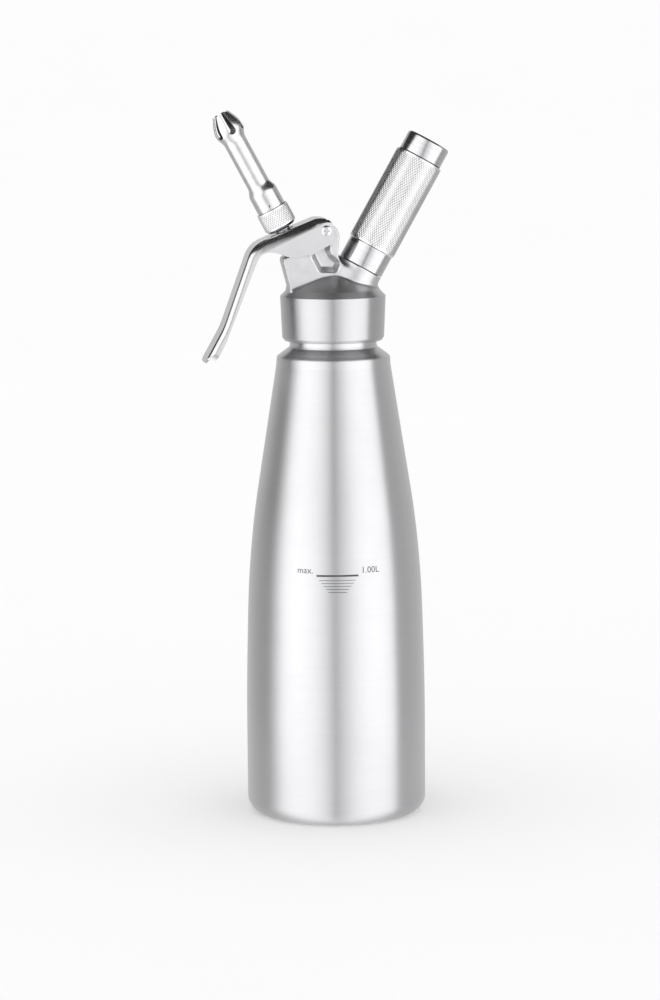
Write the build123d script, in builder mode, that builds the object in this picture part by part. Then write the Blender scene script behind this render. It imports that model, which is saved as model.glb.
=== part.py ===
from build123d import *
import os
from math import cos, pi, radians, sin

# Whipped cream dispenser: a one litre pressure bottle with a lever head.
# Millimetres, +Z up. The origin is the middle of the foot ring, on the bottle's axis. The lever is on the
# -X side and the charger holder on the +X side, and the axes of both lie in the plane Y = 0.

# Bottle
BODY_R = 50.0
WALL = 1.6
CORNER_R = 9.0
FOOT_INNER_R = 37.5
BASE_RISE = 5.0
CYLINDER_TOP = 52.0
SIDE_POINTS = [(49.3, 96.0), (47.6, 138.0)]
CONE_START = (42.8, 181.3)
CONE_SLOPE = 0.157
CONE_END = (31.75, 251.5)
SHOULDER = (31.4, 256.6)
SHOULDER_ROUND = 1.2
CONE_ROUND = 8.0
SHOULDER_TOP = 262.0
INNER_SHOULDER = (254.6, 260.4)

# Neck ring, with a right-hand thread
NECK_R = 24.1
NECK_INNER_R = 21.5
NECK_BOTTOM = 262.6
NECK_TOP = 285.5
THREAD_PITCH = 4.0
THREAD_CREST_R = 25.6
THREAD_START = 268.0
THREAD_HEIGHT = 13.0
THREAD_ROOT_HALF = 1.3
THREAD_CREST_HALF = 0.45
THREAD_SINK = 0.1
LIP_CHAMFER = 0.6

# Head: cap, dome and ceiling
CAP_BOTTOM = 265.4
CAP_BORE_R = 26.0
CAP_BOTTOM_R = 28.25
CAP_R = 29.2
CAP_TOP = 290.0
CAP_CHAMFER = 3.4
CAP_FOOT = (1.2, 1.8)
DOME_KNEE = (11.0, 300.9)
DOME_FLAT = (6.0, 302.3)
DOME_TOP = 302.7
CEILING = 288.0
GASKET_GAP = 0.05

# The valve's and the holder's axes: where heights along each start, as (X, Z), and its lean from upright
VALVE_FOOT = (0.0, 275.5)
VALVE_LEAN = 28.1
HOLDER_FOOT = (-1.1, 276.1)
HOLDER_LEAN = 29.3

# Valve block, web and pivot arm of the casting
BLOCK_HALF_WIDTH = 10.0
BLOCK_TOP = 44.6
BLOCK_HALF_TOP = 7.9
BLOCK_SIDE = [(-24.8, 290.5), (-24.8, 295.5), (-28.4, 309.4)]
POCKET_FLOOR_Y = 4.7
POCKET_TAPER = 26.0
POCKET = [
    (-10.4, 314.5),
    (-10.2, 312.6),
    (-6.9, 305.6),
    (-0.6, 305.5),
    (0.4, 308.0),
    (-3.2, 311.6),
    (-4.7, 314.6),
    (-5.0, 317.8),
    (-8.6, 317.8),
]
PIVOT = (-4.8, 326.5)
PIVOT_BOSS_R = 3.9
ARM_TOP_ARC = [(0.7, 328.0), (2.8, 323.0)]
ARM_FLARE = [(1.9, 313.8), (3.5, 308.7), (8.0, 305.0)]
ARM_FOOT = [(14.0, 300.0), (14.0, 290.5)]
PIVOT_SCREW_R = 2.5
PIVOT_GAP = 0.1
PIVOT_CLEARANCE = 0.05
SCREW_HEAD_R = 2.9
SCREW_HEAD = 1.4
SCREW_CHAMFER = 0.4
CROSS_RECESS = (3.6, 0.8, 1.0)
SPACER_WALL = 1.2

# Charger boss and its spigot, measured along the holder's axis
BOSS_R = 12.9
BOSS_TRIM_R = 26.6
BOSS_START = 21.5
BOSS_TOP = 33.8
SPIGOT_R = 10.7
SPIGOT_TOP = 45.0
INLET_R = 4.5
INLET_TOP = 20.0
GAS_PASSAGE_R = 1.2
PIN_SEAT_R = 3.0
PIN_SEAT = 33.0
RECESS_R = 5.2
RECESS_BOTTOM = 37.0
PIN_R = 1.1
PIN_TIP = 42.6

# Valve, measured along its axis
GUIDE_R = 7.0
GUIDE_BORE_R = 4.5
SEAT = 18.0
GUIDE_TOP = 46.0
GUIDE_FLANGE = 0.6
STEM_R = 4.45
STEM_BORE_R = 2.6
STEM_THREAD_R = 4.0
STEM_BOTTOM = 13.6
STEM_FLANGE = 3.0
STEM_TOP = 70.5
PORT_R = 1.5
PORT_HEIGHT = 19.6
O_RING_HEIGHT = 34.0
O_RING_SECTION_R = 0.54
O_RING_GROOVE = (1.05, 0.15)
COLLAR_R = 7.2
COLLAR = (53.05, 55.1)
SPRING_R = 5.9
SPRING_WIRE_R = 0.4
SPRING_TURNS = 3.0
FLANGE_R = 6.6
ADAPTER_BOTTOM = 59.2
ADAPTER_TOP = 71.3
ADAPTER_R = 9.2
ADAPTER_CHAMFER = 1.8
ADAPTER_SPIGOT_R = 6.5
ADAPTER_SPIGOT_TOP = 78.4

# Lever, pressed from sheet
SHEET = 1.5
LEVER_WIDTH = 26.0
LEVER_SPINE = [(-4.6, 333.0), (-9.5, 333.5), (-45.7, 319.0), (-62.1, 273.6), (-72.6, 254.9)]
LEVER_BENDS = [10.0, 16.0, 50.0]
LEVER_EDGE_ROUND = 3.2
LEVER_TIP_ROUND = 8.0
HANDLE_EDGE = [(-68.8, 252.6), (-64.0, 259.4), (-60.6, 266.0), (-44.6, 306.3)]
CHEEK_EDGE = [(-44.6, 306.3), (-39.6, 314.2), (-33.5, 314.8), (-22.5, 312.1), (-14.5, 313.2), (-3.6, 318.4)]
CHEEK_EDGE_ENDS = [(0.4, 1), (0.95, 0.5)]
CHEEK_FRONT = [(-3.6, 318.4), (-1.4, 320.4), (-0.6, 322.8)]
CHEEK_TOP = [(-0.6, 326.6), (-1.6, 330.6)]
STEM_SLOT_HALF = 5.4
STEM_SLOT_R = 4.6

# Nozzle, measured along the valve's axis
NOZZLE_BOTTOM = 71.4
NOZZLE_R = 8.1
NOZZLE_TUBE_R = 6.35
NOZZLE_WALL = 0.9
CROWN_R = 8.3
NOZZLE_TIP = 130.2
NOZZLE_TIP_R = 4.7
SKIRT_BORE_R = 6.8
SKIRT_TOP = 79.8
NOZZLE_TAPER = (81.2, 86.7)
GASKET = (78.5, 79.7)
CROWN_START = 113.0
CROWN_WIDEST = 119.9
TEETH = 6
SLOT_TURN = 10.0
SLOT_BOTTOM = 117.6
SLOT_R = 1.9
SLOT_TOP_HALF = 1.0
DIMPLE_HEIGHT = 73.2
DIMPLE_R = 0.9

# Charger and holder, measured along the holder's axis
CHARGER_TIP = 40.0
CHARGER_NECK_R = 4.3
CHARGER_R = 9.3
CHARGER_NECK = 8.0
CHARGER_SHOULDER = (7.4, 11.2)
CHARGER_FULL = 16.0
CHARGER_END = 105.5
PIERCED_R = 1.5
PIERCED = 5.0
HOLDER_BOTTOM = 34.1
HOLDER_TOP = 113.1
HOLDER_R = 12.9
HOLDER_HEAD_R = 12.45
KNURL_R = 13.65
KNURL = (47.2, 101.6)
HOLDER_CHAMFER = 0.9
HOLDER_GROOVE = 0.4
HOLDER_GROOVE_ENDS = (0.2, 0.8)
SOCKET_R = 11.0
CHARGER_BORE_R = 9.7

os.makedirs("parts", exist_ok=True)


def leaning_plane(foot, lean):
    """Plane Y = 0 whose Y axis starts at `foot`, as (X, Z), and leans by `lean` degrees towards +X."""
    turn_x = Vector(cos(radians(lean)), 0, -sin(radians(lean)))
    return Plane(origin=(foot[0], 0, foot[1]), x_dir=turn_x, z_dir=(0, -1, 0))


def turned(plane, outline, mode=Mode.ADD):
    """Add a solid turned from a closed outline of (radius, height) points about the plane's Y axis."""
    with BuildSketch(plane) as section:
        with BuildLine():
            Polyline(*outline, close=True)
        make_face()
    revolve(section.sketch, axis=Axis(plane.origin, plane.y_dir), mode=mode)


def ring(plane, inner, outer, low, high, mode=Mode.ADD):
    """Add a plain ring, or a disc where `inner` is 0."""
    turned(plane, [(inner, low), (outer, low), (outer, high), (inner, high)], mode)


upright = Plane.XZ
valve_plane = leaning_plane(VALVE_FOOT, -VALVE_LEAN)
holder_plane = leaning_plane(HOLDER_FOOT, HOLDER_LEAN)


def across(plane, height):
    """Plane across a leaning axis at `height` along it, with its X axis in the plane Y = 0."""
    middle = plane.origin + plane.y_dir * height
    return Plane(origin=middle, x_dir=plane.x_dir, z_dir=plane.y_dir)


# ---- bottle shell: a domed base inside a foot ring, a long cone and a shoulder
with BuildPart() as bottle_shell:
    with BuildSketch(upright):
        with BuildLine():
            ThreePointArc((0, BASE_RISE), (FOOT_INNER_R / 2, BASE_RISE * 0.75), (FOOT_INNER_R, 0))
            Line((FOOT_INNER_R, 0), (BODY_R - CORNER_R, 0))
            JernArc((BODY_R - CORNER_R, 0), (1, 0), CORNER_R, 90)
            Line((BODY_R, CORNER_R), (BODY_R, CYLINDER_TOP))
            Spline(
                (BODY_R, CYLINDER_TOP),
                *SIDE_POINTS,
                CONE_START,
                tangents=[(0, 1), (-CONE_SLOPE, 1)],
            )
            shoulder_end = (NECK_R, SHOULDER_TOP)
            FilletPolyline(CONE_START, CONE_END, SHOULDER, shoulder_end, radius=[CONE_ROUND, SHOULDER_ROUND])
            Polyline(shoulder_end, (NECK_R, NECK_BOTTOM), (0, NECK_BOTTOM), (0, BASE_RISE))
        make_face()
    revolve(axis=Axis.Z)
    with BuildSketch(upright):
        with BuildLine():
            inner_r = BODY_R - WALL
            ThreePointArc(
                (0, BASE_RISE + WALL),
                (FOOT_INNER_R / 2, BASE_RISE * 0.75 + WALL),
                (FOOT_INNER_R, WALL),
            )
            Line((FOOT_INNER_R, WALL), (BODY_R - CORNER_R, WALL))
            JernArc((BODY_R - CORNER_R, WALL), (1, 0), CORNER_R - WALL, 90)
            Line((inner_r, CORNER_R), (inner_r, CYLINDER_TOP))
            Spline(
                (inner_r, CYLINDER_TOP),
                *[(radius - WALL, height) for radius, height in SIDE_POINTS],
                (CONE_START[0] - WALL, CONE_START[1]),
                tangents=[(0, 1), (-CONE_SLOPE, 1)],
            )
            Polyline(
                (CONE_START[0] - WALL, CONE_START[1]),
                (CONE_END[0] - WALL, CONE_END[1]),
                (SHOULDER[0] - WALL, INNER_SHOULDER[0]),
                (NECK_R - WALL, INNER_SHOULDER[1]),
                (NECK_R - WALL, NECK_BOTTOM),
                (0, NECK_BOTTOM),
                (0, BASE_RISE + WALL),
            )
        make_face()
    revolve(axis=Axis.Z, mode=Mode.SUBTRACT)
bottle_shell.part.label = "bottle_shell"

# ---- neck ring: welded on the shoulder, with the thread that the head screws on
with BuildPart() as neck_ring:
    ring(upright, NECK_INNER_R, NECK_R, NECK_BOTTOM, NECK_TOP)
    lip = neck_ring.edges().filter_by(GeomType.CIRCLE).group_by(Axis.Z)[-1]
    chamfer(lip, length=LIP_CHAMFER)
    thread_r = NECK_R - THREAD_SINK
    with BuildLine():
        Helix(pitch=THREAD_PITCH, height=THREAD_HEIGHT, radius=thread_r, center=(0, 0, THREAD_START))
    with BuildSketch(Plane(origin=(thread_r, 0, THREAD_START), z_dir=(0, 1, 0), x_dir=(1, 0, 0))):
        crest = THREAD_CREST_R - thread_r
        with BuildLine():
            Polyline(
                (0, -THREAD_ROOT_HALF),
                (crest, -THREAD_CREST_HALF),
                (crest, THREAD_CREST_HALF),
                (0, THREAD_ROOT_HALF),
                close=True,
            )
        make_face()
    sweep(is_frenet=True)
neck_ring.part.label = "neck_ring"

# ---- head gasket: rubber ring on the mouth of the neck
with BuildPart() as head_gasket:
    ring(upright, NECK_INNER_R + 0.1, 25.4, NECK_TOP + GASKET_GAP, CEILING - GASKET_GAP)
head_gasket.part.label = "head_gasket"

# ---- head casting: cap and dome, valve block, web with a pocket on each side, pivot arm, charger boss
with BuildPart() as head_casting:
    turned(
        upright,
        [
            (CAP_BORE_R, CAP_BOTTOM),
            (CAP_BOTTOM_R - CAP_FOOT[0], CAP_BOTTOM),
            (CAP_BOTTOM_R, CAP_BOTTOM + CAP_FOOT[1]),
            (CAP_R, CAP_TOP),
            (CAP_R - CAP_CHAMFER, CAP_TOP + CAP_CHAMFER),
            DOME_KNEE,
            DOME_FLAT,
            (0, DOME_TOP),
            (0, CEILING),
            (CAP_BORE_R, CEILING),
        ],
    )
    block_left = across(valve_plane, BLOCK_TOP).from_local_coords((-BLOCK_HALF_TOP, 0, 0))
    block_right = across(valve_plane, BLOCK_TOP).from_local_coords((BLOCK_HALF_TOP, 0, 0))
    with BuildSketch(upright):
        with BuildLine():
            Polyline(
                *BLOCK_SIDE,
                (block_left.X, block_left.Z),
                (block_right.X, block_right.Z),
                (PIVOT[0] - PIVOT_BOSS_R, PIVOT[1]),
            )
            ThreePointArc(
                (PIVOT[0] - PIVOT_BOSS_R, PIVOT[1]),
                (PIVOT[0] - PIVOT_BOSS_R * cos(pi / 4), PIVOT[1] + PIVOT_BOSS_R * sin(pi / 4)),
                (PIVOT[0], PIVOT[1] + PIVOT_BOSS_R),
            )
            ThreePointArc((PIVOT[0], PIVOT[1] + PIVOT_BOSS_R), *ARM_TOP_ARC)
            Line(ARM_TOP_ARC[-1], ARM_FLARE[0])
            ThreePointArc(*ARM_FLARE)
            Polyline(ARM_FLARE[-1], *ARM_FOOT, BLOCK_SIDE[0])
        make_face()
    extrude(amount=BLOCK_HALF_WIDTH, both=True)
    for side in (1, -1):
        with BuildSketch(upright.offset(side * POCKET_FLOOR_Y)):
            with BuildLine():
                Polyline(*POCKET, close=True)
            make_face()
        extrude(
            amount=side * (BLOCK_HALF_WIDTH - POCKET_FLOOR_Y + 0.01),
            taper=-POCKET_TAPER,
            mode=Mode.SUBTRACT,
        )
    ring(holder_plane, 0, BOSS_R, BOSS_START, BOSS_TOP)
    with BuildSketch(Plane.YZ):
        with Locations((BOSS_TRIM_R, CAP_TOP + CAP_CHAMFER)):
            Rectangle(10, 10, align=(Align.MIN, Align.MIN))
    revolve(axis=Axis((0, 0, 0), (0, 0, -1)), revolution_arc=180, mode=Mode.SUBTRACT)
    ring(holder_plane, 0, SPIGOT_R, BOSS_TOP, SPIGOT_TOP)
    ring(valve_plane, 0, GUIDE_R, SEAT, BLOCK_TOP + 8, Mode.SUBTRACT)
    ring(valve_plane, 0, GUIDE_R + 0.5, SEAT - 10, SEAT, Mode.SUBTRACT)
    ring(holder_plane, 0, INLET_R, INLET_TOP - 12, INLET_TOP, Mode.SUBTRACT)
    ring(holder_plane, 0, GAS_PASSAGE_R, INLET_TOP - 1, PIN_SEAT, Mode.SUBTRACT)
    ring(holder_plane, 0, PIN_SEAT_R, PIN_SEAT, RECESS_BOTTOM, Mode.SUBTRACT)
    ring(holder_plane, 0, RECESS_R, RECESS_BOTTOM, SPIGOT_TOP + 1, Mode.SUBTRACT)
    with BuildSketch(upright):
        with Locations(PIVOT):
            Circle(PIVOT_SCREW_R)
    extrude(amount=LEVER_WIDTH, both=True, mode=Mode.SUBTRACT)
head_casting.part.label = "head_casting"

# ---- valve guide: bush in the valve block, whose lower end is the valve's seat
with BuildPart() as valve_guide:
    turned(
        valve_plane,
        [
            (GUIDE_BORE_R, SEAT),
            (GUIDE_R, SEAT),
            (GUIDE_R, BLOCK_TOP),
            (GUIDE_R + GUIDE_FLANGE, BLOCK_TOP),
            (GUIDE_R + GUIDE_FLANGE, GUIDE_TOP - 0.4),
            (GUIDE_R + 0.2, GUIDE_TOP),
            (GUIDE_BORE_R, GUIDE_TOP),
        ],
    )
valve_guide.part.label = "valve_guide"

# ---- valve spring: between the guide and the stem's collar
with BuildPart() as valve_spring:
    coil_low = GUIDE_TOP + SPRING_WIRE_R
    coil_height = COLLAR[0] - GUIDE_TOP - 2 * SPRING_WIRE_R
    with BuildLine():
        coil = Helix(
            pitch=coil_height / SPRING_TURNS,
            height=coil_height,
            radius=SPRING_R,
            center=valve_plane.origin + valve_plane.y_dir * coil_low,
            direction=valve_plane.y_dir,
        )
    with BuildSketch(Plane(origin=coil @ 0, z_dir=coil % 0)):
        Circle(SPRING_WIRE_R)
    sweep(is_frenet=True)
valve_spring.part.label = "valve_spring"

# ---- pivot screw with a cross recess, its sleeve nut and two spacers
cheek_y = LEVER_WIDTH / 2
pivot_plane = Plane(origin=(PIVOT[0], 0, PIVOT[1]), x_dir=(1, 0, 0), z_dir=(0, -1, 0))
with BuildPart() as pivot_screw:
    with BuildSketch(pivot_plane.offset(-cheek_y - PIVOT_GAP)):
        Circle(PIVOT_SCREW_R)
    extrude(amount=2 * (cheek_y + PIVOT_GAP))
    with BuildSketch(pivot_plane.offset(cheek_y + PIVOT_GAP)):
        Circle(SCREW_HEAD_R)
    extrude(amount=SCREW_HEAD)
    chamfer(pivot_screw.faces().sort_by(Axis.Y)[0].edges(), length=SCREW_CHAMFER)
    with BuildSketch(pivot_plane.offset(cheek_y + PIVOT_GAP + SCREW_HEAD)):
        for turn in (45, 135):
            Rectangle(CROSS_RECESS[0], CROSS_RECESS[1], rotation=turn)
    extrude(amount=-CROSS_RECESS[2], mode=Mode.SUBTRACT)
pivot_screw.part.label = "pivot_screw"

with BuildPart() as pivot_nut:
    with BuildSketch(pivot_plane.offset(-cheek_y - PIVOT_GAP)):
        Circle(SCREW_HEAD_R)
    extrude(amount=-SCREW_HEAD)
    chamfer(pivot_nut.faces().sort_by(Axis.Y)[-1].edges(), length=SCREW_CHAMFER)
pivot_nut.part.label = "pivot_nut"

with BuildPart() as pivot_washers:
    for side in (1, -1):
        with BuildSketch(pivot_plane.offset(side * BLOCK_HALF_WIDTH)):
            Circle(PIVOT_SCREW_R + SPACER_WALL)
            Circle(PIVOT_SCREW_R, mode=Mode.SUBTRACT)
        extrude(amount=side * (cheek_y - SHEET - BLOCK_HALF_WIDTH - PIVOT_GAP))
pivot_washers.part.label = "pivot_washers"

# ---- gas inlet: piercing pin, its washer, the check disc and the ring that holds it
with BuildPart() as piercing_pin:
    turned(
        holder_plane,
        [
            (0, PIN_SEAT),
            (PIN_SEAT_R, PIN_SEAT),
            (PIN_SEAT_R, RECESS_BOTTOM),
            (PIN_R, RECESS_BOTTOM),
            (PIN_R, PIN_TIP - 1.5),
            (0, PIN_TIP),
        ],
    )
piercing_pin.part.label = "piercing_pin"

with BuildPart() as charger_seal:
    ring(holder_plane, PIN_R, RECESS_R, RECESS_BOTTOM, CHARGER_TIP - 0.1)
charger_seal.part.label = "charger_seal"

with BuildPart() as check_disc:
    ring(holder_plane, 0, INLET_R - 0.6, INLET_TOP - 1.5, INLET_TOP)
check_disc.part.label = "check_disc"

with BuildPart() as inlet_nut:
    ring(holder_plane, 1.5, INLET_R, INLET_TOP - 4.5, INLET_TOP - 1.5)
inlet_nut.part.label = "inlet_nut"

# ---- valve stem: hollow, with a flange below, side ports, a collar under the lever and a threaded top
with BuildPart() as valve_stem:
    turned(
        valve_plane,
        [
            (0, STEM_BOTTOM),
            (FLANGE_R, STEM_BOTTOM),
            (FLANGE_R, STEM_BOTTOM + STEM_FLANGE),
            (STEM_R, STEM_BOTTOM + STEM_FLANGE),
            (STEM_R, COLLAR[0]),
            (COLLAR_R, COLLAR[0]),
            (COLLAR_R, COLLAR[1]),
            (STEM_THREAD_R, COLLAR[1]),
            (STEM_THREAD_R, STEM_TOP),
            (STEM_BORE_R, STEM_TOP),
            (STEM_BORE_R, STEM_BOTTOM + STEM_FLANGE),
            (0, STEM_BOTTOM + STEM_FLANGE),
        ],
    )
    with BuildSketch(valve_plane):
        with Locations((0, PORT_HEIGHT)):
            Circle(PORT_R)
    extrude(amount=2 * STEM_R, both=True, mode=Mode.SUBTRACT)
    groove_half = O_RING_SECTION_R + O_RING_GROOVE[1]
    ring(
        valve_plane,
        STEM_R - O_RING_GROOVE[0],
        STEM_R + 1,
        O_RING_HEIGHT - groove_half,
        O_RING_HEIGHT + groove_half,
        Mode.SUBTRACT,
    )
valve_stem.part.label = "valve_stem"

with BuildPart() as valve_seal:
    ring(valve_plane, STEM_R, FLANGE_R + 0.2, STEM_BOTTOM + STEM_FLANGE, SEAT - 0.05)
valve_seal.part.label = "valve_seal"

with BuildPart() as stem_o_ring:
    with BuildSketch(valve_plane):
        with Locations((STEM_R - O_RING_GROOVE[0] + O_RING_SECTION_R, O_RING_HEIGHT)):
            Circle(O_RING_SECTION_R)
    revolve(axis=Axis(valve_plane.origin, valve_plane.y_dir))
stem_o_ring.part.label = "stem_o_ring"

# ---- decorator adapter: knurled ring screwed on the stem, with a threaded spigot for the nozzle
with BuildPart() as decorator_adapter:
    turned(
        valve_plane,
        [
            (STEM_THREAD_R, ADAPTER_BOTTOM),
            (ADAPTER_R - ADAPTER_CHAMFER, ADAPTER_BOTTOM),
            (ADAPTER_R, ADAPTER_BOTTOM + ADAPTER_CHAMFER),
            (ADAPTER_R, ADAPTER_TOP),
            (ADAPTER_SPIGOT_R, ADAPTER_TOP),
            (ADAPTER_SPIGOT_R, ADAPTER_SPIGOT_TOP),
            (STEM_BORE_R, ADAPTER_SPIGOT_TOP),
            (STEM_BORE_R, STEM_TOP),
            (STEM_THREAD_R, STEM_TOP),
        ],
    )
decorator_adapter.part.label = "decorator_adapter"

with BuildPart() as nozzle_gasket:
    ring(valve_plane, STEM_BORE_R, ADAPTER_SPIGOT_R - 0.1, GASKET[0], GASKET[1])
nozzle_gasket.part.label = "nozzle_gasket"

# ---- nozzle: skirt over the spigot, tube and a crown of teeth that close over the mouth
with BuildPart() as nozzle:
    with BuildSketch(valve_plane):
        tube_bore = NOZZLE_TUBE_R - NOZZLE_WALL
        crown_bore = CROWN_R - NOZZLE_WALL
        with BuildLine():
            Polyline(
                (SKIRT_BORE_R, NOZZLE_BOTTOM),
                (NOZZLE_R, NOZZLE_BOTTOM),
                (NOZZLE_R, NOZZLE_TAPER[0]),
                (NOZZLE_TUBE_R, NOZZLE_TAPER[1]),
                (NOZZLE_TUBE_R, CROWN_START),
            )
            Spline(
                (NOZZLE_TUBE_R, CROWN_START),
                (CROWN_R, CROWN_WIDEST),
                (NOZZLE_TIP_R, NOZZLE_TIP),
                tangents=[(0, 1), (0, 1), (-0.5, 1)],
            )
            Line((NOZZLE_TIP_R, NOZZLE_TIP), (NOZZLE_TIP_R - NOZZLE_WALL, NOZZLE_TIP))
            Spline(
                (NOZZLE_TIP_R - NOZZLE_WALL, NOZZLE_TIP),
                (crown_bore, CROWN_WIDEST),
                (tube_bore, CROWN_START),
                tangents=[(0.5, -1), (0, -1), (0, -1)],
            )
            Polyline(
                (tube_bore, CROWN_START),
                (tube_bore, SKIRT_TOP),
                (SKIRT_BORE_R, SKIRT_TOP),
                (SKIRT_BORE_R, NOZZLE_BOTTOM),
            )
        make_face()
    revolve(axis=Axis(valve_plane.origin, valve_plane.y_dir))
    for tooth in range(TEETH):
        around = Plane(valve_plane.origin, valve_plane.x_dir, valve_plane.z_dir)
        around = around.rotated((0, SLOT_TURN + tooth * 360 / TEETH, 0))
        with BuildSketch(around):
            with BuildLine():
                slot_arc = CenterArc((0, SLOT_BOTTOM + SLOT_R), SLOT_R, 180, 180)
                Polyline(
                    slot_arc @ 1,
                    (SLOT_TOP_HALF, NOZZLE_TIP + 1),
                    (-SLOT_TOP_HALF, NOZZLE_TIP + 1),
                    slot_arc @ 0,
                )
            make_face()
        extrude(amount=2 * CROWN_R, mode=Mode.SUBTRACT)
    with BuildSketch(valve_plane.offset(NOZZLE_R - 0.6)):
        with Locations((0, DIMPLE_HEIGHT)):
            Circle(DIMPLE_R)
    extrude(amount=2, mode=Mode.SUBTRACT)
nozzle.part.label = "nozzle"

# ---- lever: a channel pressed from sheet; its top takes the stem through a slot and its cheeks the pivot
with BuildPart() as lever:
    with BuildSketch(upright):
        with BuildLine():
            spine = FilletPolyline(*LEVER_SPINE, radius=LEVER_BENDS)
            Polyline(spine @ 1, *HANDLE_EDGE)
            Spline(*CHEEK_EDGE, tangents=CHEEK_EDGE_ENDS)
            ThreePointArc(*CHEEK_FRONT)
            Line(CHEEK_FRONT[-1], CHEEK_TOP[0])
            ThreePointArc(*CHEEK_TOP, spine @ 0)
        make_face()
    extrude(amount=LEVER_WIDTH / 2, both=True)
    outer_edges = [
        edge
        for edge in lever.edges()
        if abs((edge @ 0.5).Y) > LEVER_WIDTH / 2 - 0.01
        and spine.distance_to(Vertex((edge @ 0.5).X, (edge @ 0.5).Z)) < 0.01
    ]
    fillet(outer_edges, radius=LEVER_EDGE_ROUND)
    with BuildPart(mode=Mode.PRIVATE) as channel:
        with BuildSketch(upright):
            with BuildLine() as inside:
                under = offset(spine, amount=SHEET, side=Side.LEFT, closed=False)
                front_end = inside.line @ 1
                tip_end = inside.line @ 0
                beyond, above, below = 20.0, 340.0, 230.0
                Polyline(
                    front_end,
                    (front_end.X, above),
                    (beyond, above),
                    (beyond, below),
                    (tip_end.X - beyond, below),
                    tip_end,
                )
            make_face()
        extrude(amount=LEVER_WIDTH / 2 - SHEET, both=True)
        inner_edges = [
            edge
            for edge in channel.edges()
            if abs((edge @ 0.5).Y) > LEVER_WIDTH / 2 - SHEET - 0.01
            and under.distance_to(Vertex((edge @ 0.5).X, (edge @ 0.5).Z)) < 0.01
        ]
        fillet(inner_edges, radius=LEVER_EDGE_ROUND - SHEET)
    add(channel.part, mode=Mode.SUBTRACT)
    tip_middle = upright.from_local_coords(spine @ 1)
    tip_along = upright.from_local_coords(spine @ 1 + spine % 1) - tip_middle
    tip = Plane(origin=tip_middle, x_dir=(0, 1, 0), z_dir=Vector(0, 1, 0).cross(tip_along))
    with BuildSketch(tip):
        with Locations((0, -LEVER_TIP_ROUND / 2)):
            Rectangle(LEVER_WIDTH + 1, LEVER_TIP_ROUND + 0.5)
        with Locations((0, -LEVER_WIDTH)):
            RectangleRounded(LEVER_WIDTH + 0.01, 2 * LEVER_WIDTH, LEVER_TIP_ROUND, mode=Mode.SUBTRACT)
    extrude(amount=8, both=True, mode=Mode.SUBTRACT)
    with BuildSketch(across(valve_plane, COLLAR[1])):
        with Locations((0.6, 0)):
            SlotCenterToCenter(2 * (STEM_SLOT_HALF - STEM_SLOT_R), 2 * STEM_SLOT_R)
    extrude(amount=8, mode=Mode.SUBTRACT)
    with BuildSketch(pivot_plane):
        Circle(PIVOT_SCREW_R + PIVOT_CLEARANCE)
    extrude(amount=LEVER_WIDTH, both=True, mode=Mode.SUBTRACT)
lever.part.label = "lever"

# ---- gas charger: an 8 g bottle, pierced at its neck
with BuildPart() as gas_charger:
    with BuildSketch(holder_plane):
        with BuildLine():
            Polyline(
                (0, CHARGER_TIP + PIERCED),
                (PIERCED_R, CHARGER_TIP + PIERCED),
                (PIERCED_R, CHARGER_TIP),
                (CHARGER_NECK_R - 0.5, CHARGER_TIP),
                (CHARGER_NECK_R, CHARGER_TIP + 0.5),
                (CHARGER_NECK_R, CHARGER_TIP + CHARGER_NECK),
            )
            Spline(
                (CHARGER_NECK_R, CHARGER_TIP + CHARGER_NECK),
                (CHARGER_SHOULDER[0], CHARGER_TIP + CHARGER_SHOULDER[1]),
                (CHARGER_R, CHARGER_TIP + CHARGER_FULL),
                tangents=[(0.6, 1), (0, 1)],
            )
            Line((CHARGER_R, CHARGER_TIP + CHARGER_FULL), (CHARGER_R, CHARGER_END - CHARGER_R))
            RadiusArc((CHARGER_R, CHARGER_END - CHARGER_R), (0, CHARGER_END), -CHARGER_R)
            Line((0, CHARGER_END), (0, CHARGER_TIP + PIERCED))
        make_face()
    revolve(axis=Axis(holder_plane.origin, holder_plane.y_dir))
gas_charger.part.label = "gas_charger"

# ---- charger holder: sleeve closed at its top, with a knurled grip between two plain bands
with BuildPart() as charger_holder:
    turned(
        holder_plane,
        [
            (SOCKET_R, HOLDER_BOTTOM),
            (HOLDER_R, HOLDER_BOTTOM),
            (HOLDER_R, KNURL[0] - 0.4),
            (KNURL_R, KNURL[0]),
            (KNURL_R, KNURL[1]),
            (HOLDER_HEAD_R - HOLDER_GROOVE, KNURL[1] + HOLDER_GROOVE_ENDS[0]),
            (HOLDER_HEAD_R - HOLDER_GROOVE, KNURL[1] + HOLDER_GROOVE_ENDS[1]),
            (HOLDER_HEAD_R, KNURL[1] + HOLDER_GROOVE_ENDS[1] + 0.1),
            (HOLDER_HEAD_R, HOLDER_TOP - HOLDER_CHAMFER),
            (HOLDER_HEAD_R - HOLDER_CHAMFER, HOLDER_TOP),
            (0, HOLDER_TOP),
            (0, CHARGER_END + 0.4),
            (CHARGER_BORE_R - 3.2, CHARGER_END + 0.4),
            (CHARGER_BORE_R, CHARGER_END - 3.0),
            (CHARGER_BORE_R, SPIGOT_TOP + 2.0),
            (SOCKET_R, SPIGOT_TOP + 1.2),
        ],
    )
charger_holder.part.label = "charger_holder"

pieces = (
    bottle_shell,
    neck_ring,
    head_gasket,
    head_casting,
    valve_guide,
    valve_spring,
    pivot_screw,
    pivot_nut,
    pivot_washers,
    piercing_pin,
    charger_seal,
    check_disc,
    inlet_nut,
    valve_stem,
    valve_seal,
    stem_o_ring,
    decorator_adapter,
    nozzle_gasket,
    nozzle,
    lever,
    gas_charger,
    charger_holder,
)
for piece in pieces:
    export_step(piece.part, "parts/" + piece.part.label + ".step")
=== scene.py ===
"""Looks of a one litre whipped cream dispenser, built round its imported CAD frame."""

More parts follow.
